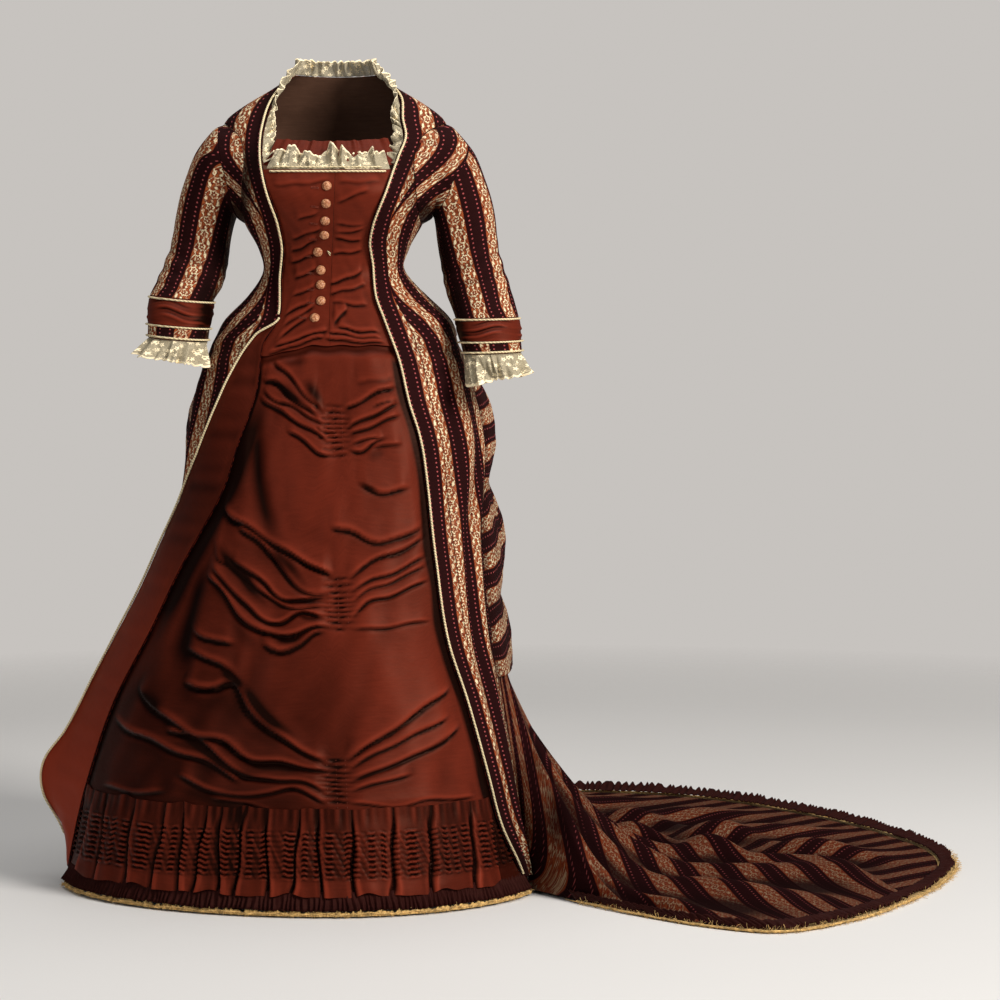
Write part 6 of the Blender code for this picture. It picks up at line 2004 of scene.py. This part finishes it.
def build_train():
    grid = train_grid(330, 150)
    rim = grid[-1, :, :2]
    way = unit(rim - grid[0, :, :2])
    deep = down_of(grid)
    left = blurred(deep[-1][None] - deep, 2, 22)
    spread = rim[None] - way[None] * left[..., None]
    far_u = spread @ np.array([-0.766, 0.643])
    far_v = spread @ np.array([0.643, 0.766])
    near_u = spread @ np.array([0.906, 0.423])
    near_v = spread @ np.array([-0.423, 0.906])
    seam = off_line(spread, TRAIN_SEAM)
    first = np.stack([far_u + 3.0, far_v + 3.0], -1)
    second = np.stack([near_u + 3.0, near_v + 3.0], -1)
    joined = 262
    first[:, joined:, 0] = across_of(grid)[:, -1:] - across_of(grid)[:, joined:]
    first[:, joined:, 1] = deep[:, joined:]
    seam[:, joined:] = np.minimum(seam[:, joined:], -0.001)
    up = np.broadcast_to([0.0, 0.0, -1.0], grid.shape)
    stand = grid[..., 2]
    # Painted shade in the train's low places, in the valley beside its seam, and in streaks where it falls
    # from the bodice.
    low = stand - 0.5 * (blurred(stand, 0, 14) + stand)
    shade = np.clip(-low / 0.0045, 0.0, 1.0)
    shade = np.maximum(shade, 0.92 * bell(seam, -0.022, 0.030) * ease(left, 0.06, 0.14))
    streak = noise_wave(np.linspace(0.0, 46.0, 330)[None, :] + 2.0 * np.sin(left * 9.0), 6)
    shade = np.maximum(shade, np.clip(1.3 * streak, 0.0, 0.92) * ease(stand, 0.030, 0.120))
    # Painted dark line over the join of the two cloth maps, standing in for a seam in shadow.
    shade[:, joined - 1:joined + 1] = 1.0
    piece = cloth("train_cloth", grid, WALL, "striped_train_cloth", inward=up, uv=first,
                  beyond=second, seam=seam, shade=shade)
    sewn(piece, ["train"])
    share = np.linspace(0.030, 0.980, 2400)
    rim = outline(share)
    flat = unit(rim - TRAIN_MIDDLE)
    near = rim - flat * (TRAIN_RUFFLE * 0.9 - 0.0030)
    loose = noise_wave(share * 130.0, 5, 4)
    height = 0.0096 + 0.0120 * np.clip(-flat[:, 1:], 0.0, 1.0)
    base = np.concatenate([near, height], axis=1)
    tip_xy = rim + flat * (0.003 + 0.004 * loose)[:, None]
    height = 0.0125 + 0.0085 * np.clip(flat[:, 1], 0.0, 1.0) - 0.0050 * np.clip(-flat[:, 1], 0.0, 1.0)
    tip = np.concatenate([tip_xy, (height + 0.0015 * noise_wave(share * 90.0, 2))[:, None]], axis=1)
    seed = strip_seed("train_ruffle_silk", base, tip, UP, 8)
    frill(seed, "plum_silk", 0.0010, 0.0135, 0.0036, 0.0, 0.30, 0.9, 4.0)
    sewn_strip(seed, "train_ruffle")
    count = 900
    share = np.linspace(0.030, 0.980, count)
    rim = outline(share)
    flat = unit(rim - TRAIN_MIDDLE)
    inner = np.concatenate([rim - flat * 0.026, np.full((count, 1), 0.0023)], axis=1)
    outer = np.concatenate([rim + flat * (0.008 + 0.002 * noise_wave(share * 160.0, 3))[:, None],
                            np.full((count, 1), 0.0023)], axis=1)
    seed = strip_seed("train_lace_band", inner, outer, UP, 5)
    frill(seed, "gold_cotton", 0.0010, 0.009, 0.0008, 0.0, 0.0, 0.8, 8.0)
    sewn_strip(seed, "train_lace")
    line = np.concatenate([rim + flat * 0.0065, np.full((count, 1), 0.0034)], axis=1)[::2]
    face = unit(np.concatenate([flat, np.full((count, 1), 0.25)], axis=1))[::2]
    seed = path_mesh("train_lace_threads", line, facing=face)
    grown(seed, fray_tree, "gold_cotton", {"Step": 0.0010, "Length": 0.0105, "Thickness": 0.00032,
          "Spread": 1.3, "Core": 0.0018})
    sewn(seed, [])


def lamp(name, place, target, size, power, tint):
    """Square area light turned towards a target."""
    light = bpy.data.lights.new(name, "AREA")
    light.size = size
    light.energy = power
    light.color = tint
    item = linked(name, light)
    item.location = place
    item.rotation_euler = (Vector(target) - Vector(place)).to_track_quat("-Z", "Y").to_euler()


def floor_look():
    """Pale floor that fades out round its edge."""
    look, t, surface = finish_of("pale_floor", 0.55, 0.0, specular=0.25)
    place = t.place()
    away = t.vector("LENGTH", place, out=1)
    tone = t.noise(place, 1.3, 3.0)
    base = bpy.context.scene.dress_colours.floor
    t.put(surface["Base Color"], t.mix(tone, colour([c * 0.97 for c in base]), colour(base)))
    t.put(surface["Alpha"], t.ramp(away, 2.2, 3.4, 1.0, 0.0))
    return look


def build_stage():
    mesh = bpy.data.meshes.new("floor")
    sides, radius = 96, 3.5
    angles = [k * math.tau / sides for k in range(sides)]
    corners = [(radius * math.cos(angle), radius * math.sin(angle), 0.0) for angle in angles]
    mesh.from_pydata(corners, [], [tuple(range(sides))])
    mesh.materials.append(floor_look())
    floor = linked("floor", mesh)
    floor.location = (0.2, 0.1, -RISE - 0.0006)
    sizes = bpy.context.scene.dress_sizes
    middle = (0.15, 0.0, -0.75)
    lamp("key_light", (4.65, -3.6, 2.475), (0.0, 0.0, -0.45), 2.1, 430.0 * sizes.light, (1.0, 0.97, 0.93))
    lamp("fill_light", (-2.6, -4.4, 1.4), middle, 2.4, 34.0 * sizes.light, (0.95, 0.97, 1.0))
    lamp("top_light", (0.4, 0.2, 3.4), middle, 3.0, 95.0 * sizes.light, (1.0, 1.0, 1.0))
    world = bpy.data.worlds.new("studio")
    world.use_nodes = True
    t = Tree(world.node_tree)
    back = world.node_tree.nodes["Background"]
    back.inputs["Color"].default_value = colour(bpy.context.scene.dress_colours.backdrop)
    seen = t.node("ShaderNodeLightPath").outputs["Is Camera Ray"]
    t.put(back.inputs["Strength"], t.ramp(seen, 0.0, 1.0, 0.20, 1.0))
    bpy.context.scene.world = world
    bpy.context.scene.view_settings.view_transform = "Standard"
    camera = bpy.data.cameras.new("photo_camera")
    camera.sensor_width = 36.0
    camera.lens = 140.8
    camera.clip_end = 40.0
    eye = linked("photo_camera", camera)
    eye.location = (0.7278, -6.4650, -0.195)
    eye.rotation_euler = (math.radians(90.0 - 4.472), 0.0, math.radians(4.0))
    bpy.context.scene.camera = eye


def tone(label, text, value):
    return FloatVectorProperty(name=label, description=text, default=value, subtype="COLOR", size=3,
                               min=0.0, max=1.0)


class DressSizes(bpy.types.PropertyGroup):
    stripe_period: FloatProperty(name="Stripe Period",
                                 description="One velvet and one brocade band together",
                                 default=0.062, min=0.02, max=0.2, unit="LENGTH")
    velvet_share: FloatProperty(name="Velvet Share", description="Part of the period that is velvet",
                                default=0.52, min=0.1, max=0.9, subtype="FACTOR")
    dot_step: FloatProperty(name="Dot Step", description="From one woven dot to the next along the velvet",
                            default=0.0072, min=0.003, max=0.03, unit="LENGTH")
    blossom_repeat: FloatProperty(name="Blossom Repeat",
                                  description="Length of one repeat along the brocade",
                                  default=0.021, min=0.01, max=0.1, unit="LENGTH")
    dart_depth: FloatProperty(name="Dart Depth",
                              description="Cloth that each front dart takes in at the waist",
                              default=0.062, min=0.0, max=0.1, unit="LENGTH")
    sleeve_turn: FloatProperty(name="Sleeve Turn",
                               description="Degrees round the sleeve to its main velvet band",
                               default=22.0, min=0.0, max=359.0)
    button_width: FloatProperty(name="Button Width", description="Across one covered button",
                                default=2.0 * BUTTON, min=0.008, max=0.03, unit="LENGTH")
    ruffle_pleat: FloatProperty(name="Ruffle Pleat", description="Width of one pleat of the hem ruffle",
                                default=0.0088, min=0.004, max=0.03, unit="LENGTH")
    light: FloatProperty(name="Light", description="Strength of the studio lights", default=1.0, min=0.1,
                         max=5.0)


class DressColours(bpy.types.PropertyGroup):
    rust: tone("Rust Silk", "Vest, apron, flounce, cuffs and revers", (0.112, 0.0150, 0.0068))
    plum: tone("Plum Silk", "Ruffles at the hem and round the train", (0.030, 0.0060, 0.0055))
    velvet: tone("Velvet", "Ground of the velvet bands", (0.0110, 0.0016, 0.0022))
    dots: tone("Velvet Dots", "Woven dots of the velvet bands", (0.420, 0.085, 0.085))
    brocade: tone("Brocade", "Ground of the brocade bands", (0.405, 0.100, 0.030))
    blossom: tone("Blossoms", "Cream flowers of the brocade", (0.900, 0.760, 0.480))
    outline: tone("Blossom Outline", "Dark threads round the flowers", (0.120, 0.014, 0.006))
    lace: tone("Lace", "Neck and cuff lace", (1.0, 0.850, 0.570))
    piping: tone("Piping", "Silk-covered cords along the edges", (0.790, 0.640, 0.370))
    gold: tone("Gold Edging", "Frayed cotton edging of the hem and train", (0.700, 0.445, 0.160))
    # Painted shade: the train's dots, brocade and blossoms are painted this much darker.
    train_shade: FloatProperty(name="Train Shade", description="Brightness of the train beside the bodice",
                               default=0.46, min=0.05, max=1.0, subtype="FACTOR")
    copper: tone("Copper Brocade", "Ground of the covered buttons", (0.360, 0.105, 0.036))
    lining: tone("Lining", "Cotton inside the bodice and sleeves", (0.110, 0.055, 0.035))
    floor: tone("Floor", "Pale studio floor", (0.800, 0.785, 0.765))
    backdrop: tone("Backdrop", "Studio wall beyond the floor", (0.570, 0.545, 0.520))


class BuildVest(bpy.types.Operator):
    """Both halves of the silk vest, with buttonhole threads"""
    bl_idname = "dress.build_vest"
    bl_label = "Vest"

    def execute(self, context):
        build_vest()
        return {"FINISHED"}


class BuildFronts(bpy.types.Operator):
    """Striped overdress fronts and the back of the bodice"""
    bl_idname = "dress.build_fronts"
    bl_label = "Overdress Fronts and Back"

    def execute(self, context):
        build_fronts()
        return {"FINISHED"}


class BuildDrape(bpy.types.Operator):
    """Three stacked puffs of the back drape"""
    bl_idname = "dress.build_drape"
    bl_label = "Back Drape"

    def execute(self, context):
        build_drape()
        return {"FINISHED"}


class BuildApron(bpy.types.Operator):
    """Swagged and shirred apron"""
    bl_idname = "dress.build_apron"
    bl_label = "Apron"

    def execute(self, context):
        build_apron()
        return {"FINISHED"}


class BuildFlounce(bpy.types.Operator):
    """Pleated flounce, hem ruffle and hem edging"""
    bl_idname = "dress.build_flounce"
    bl_label = "Flounce and Hem"

    def execute(self, context):
        build_flounce()
        return {"FINISHED"}


class BuildReversAndPipings(bpy.types.Operator):
    """Turned-back revers and all the cream pipings"""
    bl_idname = "dress.build_revers"
    bl_label = "Revers and Pipings"

    def execute(self, context):
        build_pipings(build_revers())
        return {"FINISHED"}


class BuildSleeves(bpy.types.Operator):
    """Both striped three-quarter sleeves"""
    bl_idname = "dress.build_sleeves"
    bl_label = "Sleeves"

    def execute(self, context):
        build_sleeves()
        return {"FINISHED"}


class BuildCuffs(bpy.types.Operator):
    """Shirred cuffs and their lace"""
    bl_idname = "dress.build_cuffs"
    bl_label = "Cuffs"

    def execute(self, context):
        build_cuffs()
        return {"FINISHED"}


class BuildNeckline(bpy.types.Operator):
    """Lace round the neck and the silk strip behind it"""
    bl_idname = "dress.build_neckline"
    bl_label = "Neckline"

    def execute(self, context):
        build_neckline()
        return {"FINISHED"}


class BuildButtons(bpy.types.Operator):
    """Nine covered buttons down the vest"""
    bl_idname = "dress.build_buttons"
    bl_label = "Buttons"

    def execute(self, context):
        build_buttons()
        return {"FINISHED"}


class BuildTrain(bpy.types.Operator):
    """Striped train with its ruffle and edging"""
    bl_idname = "dress.build_train"
    bl_label = "Train"

    def execute(self, context):
        build_train()
        return {"FINISHED"}


class BuildStage(bpy.types.Operator):
    """Pale floor, soft lights and the camera"""
    bl_idname = "dress.build_stage"
    bl_label = "Stage"

    def execute(self, context):
        build_stage()
        return {"FINISHED"}


STEPS = (BuildVest, BuildFronts, BuildDrape, BuildApron, BuildFlounce, BuildReversAndPipings, BuildSleeves,
         BuildCuffs, BuildNeckline, BuildButtons, BuildTrain, BuildStage)


class DressPanel(bpy.types.Panel):
    """Sizes, colours and building steps of the dress"""
    bl_idname = "VIEW3D_PT_dress"
    bl_label = "Victorian Day Dress"
    bl_space_type = "VIEW_3D"
    bl_region_type = "UI"
    bl_category = "Dress"

    def draw(self, context):
        layout = self.layout
        for group in (context.scene.dress_sizes, context.scene.dress_colours):
            box = layout.box()
            for name in group.__annotations__:
                box.prop(group, name)
        column = layout.column(align=True)
        for step in STEPS:
            column.operator(step.bl_idname)


CLASSES = (DressSizes, DressColours) + STEPS + (DressPanel,)


def register():
    for item in CLASSES:
        bpy.utils.register_class(item)
    bpy.types.Scene.dress_sizes = PointerProperty(type=DressSizes)
    bpy.types.Scene.dress_colours = PointerProperty(type=DressColours)


def unregister():
    del bpy.types.Scene.dress_colours
    del bpy.types.Scene.dress_sizes
    for item in reversed(CLASSES):
        bpy.utils.unregister_class(item)


def main():
    register()
    bpy.ops.dress.build_vest()
    bpy.ops.dress.build_fronts()
    bpy.ops.dress.build_drape()
    bpy.ops.dress.build_apron()
    bpy.ops.dress.build_flounce()
    bpy.ops.dress.build_revers()
    bpy.ops.dress.build_sleeves()
    bpy.ops.dress.build_cuffs()
    bpy.ops.dress.build_neckline()
    bpy.ops.dress.build_buttons()
    bpy.ops.dress.build_train()
    bpy.ops.dress.build_stage()


if __name__ == "__main__":
    main()
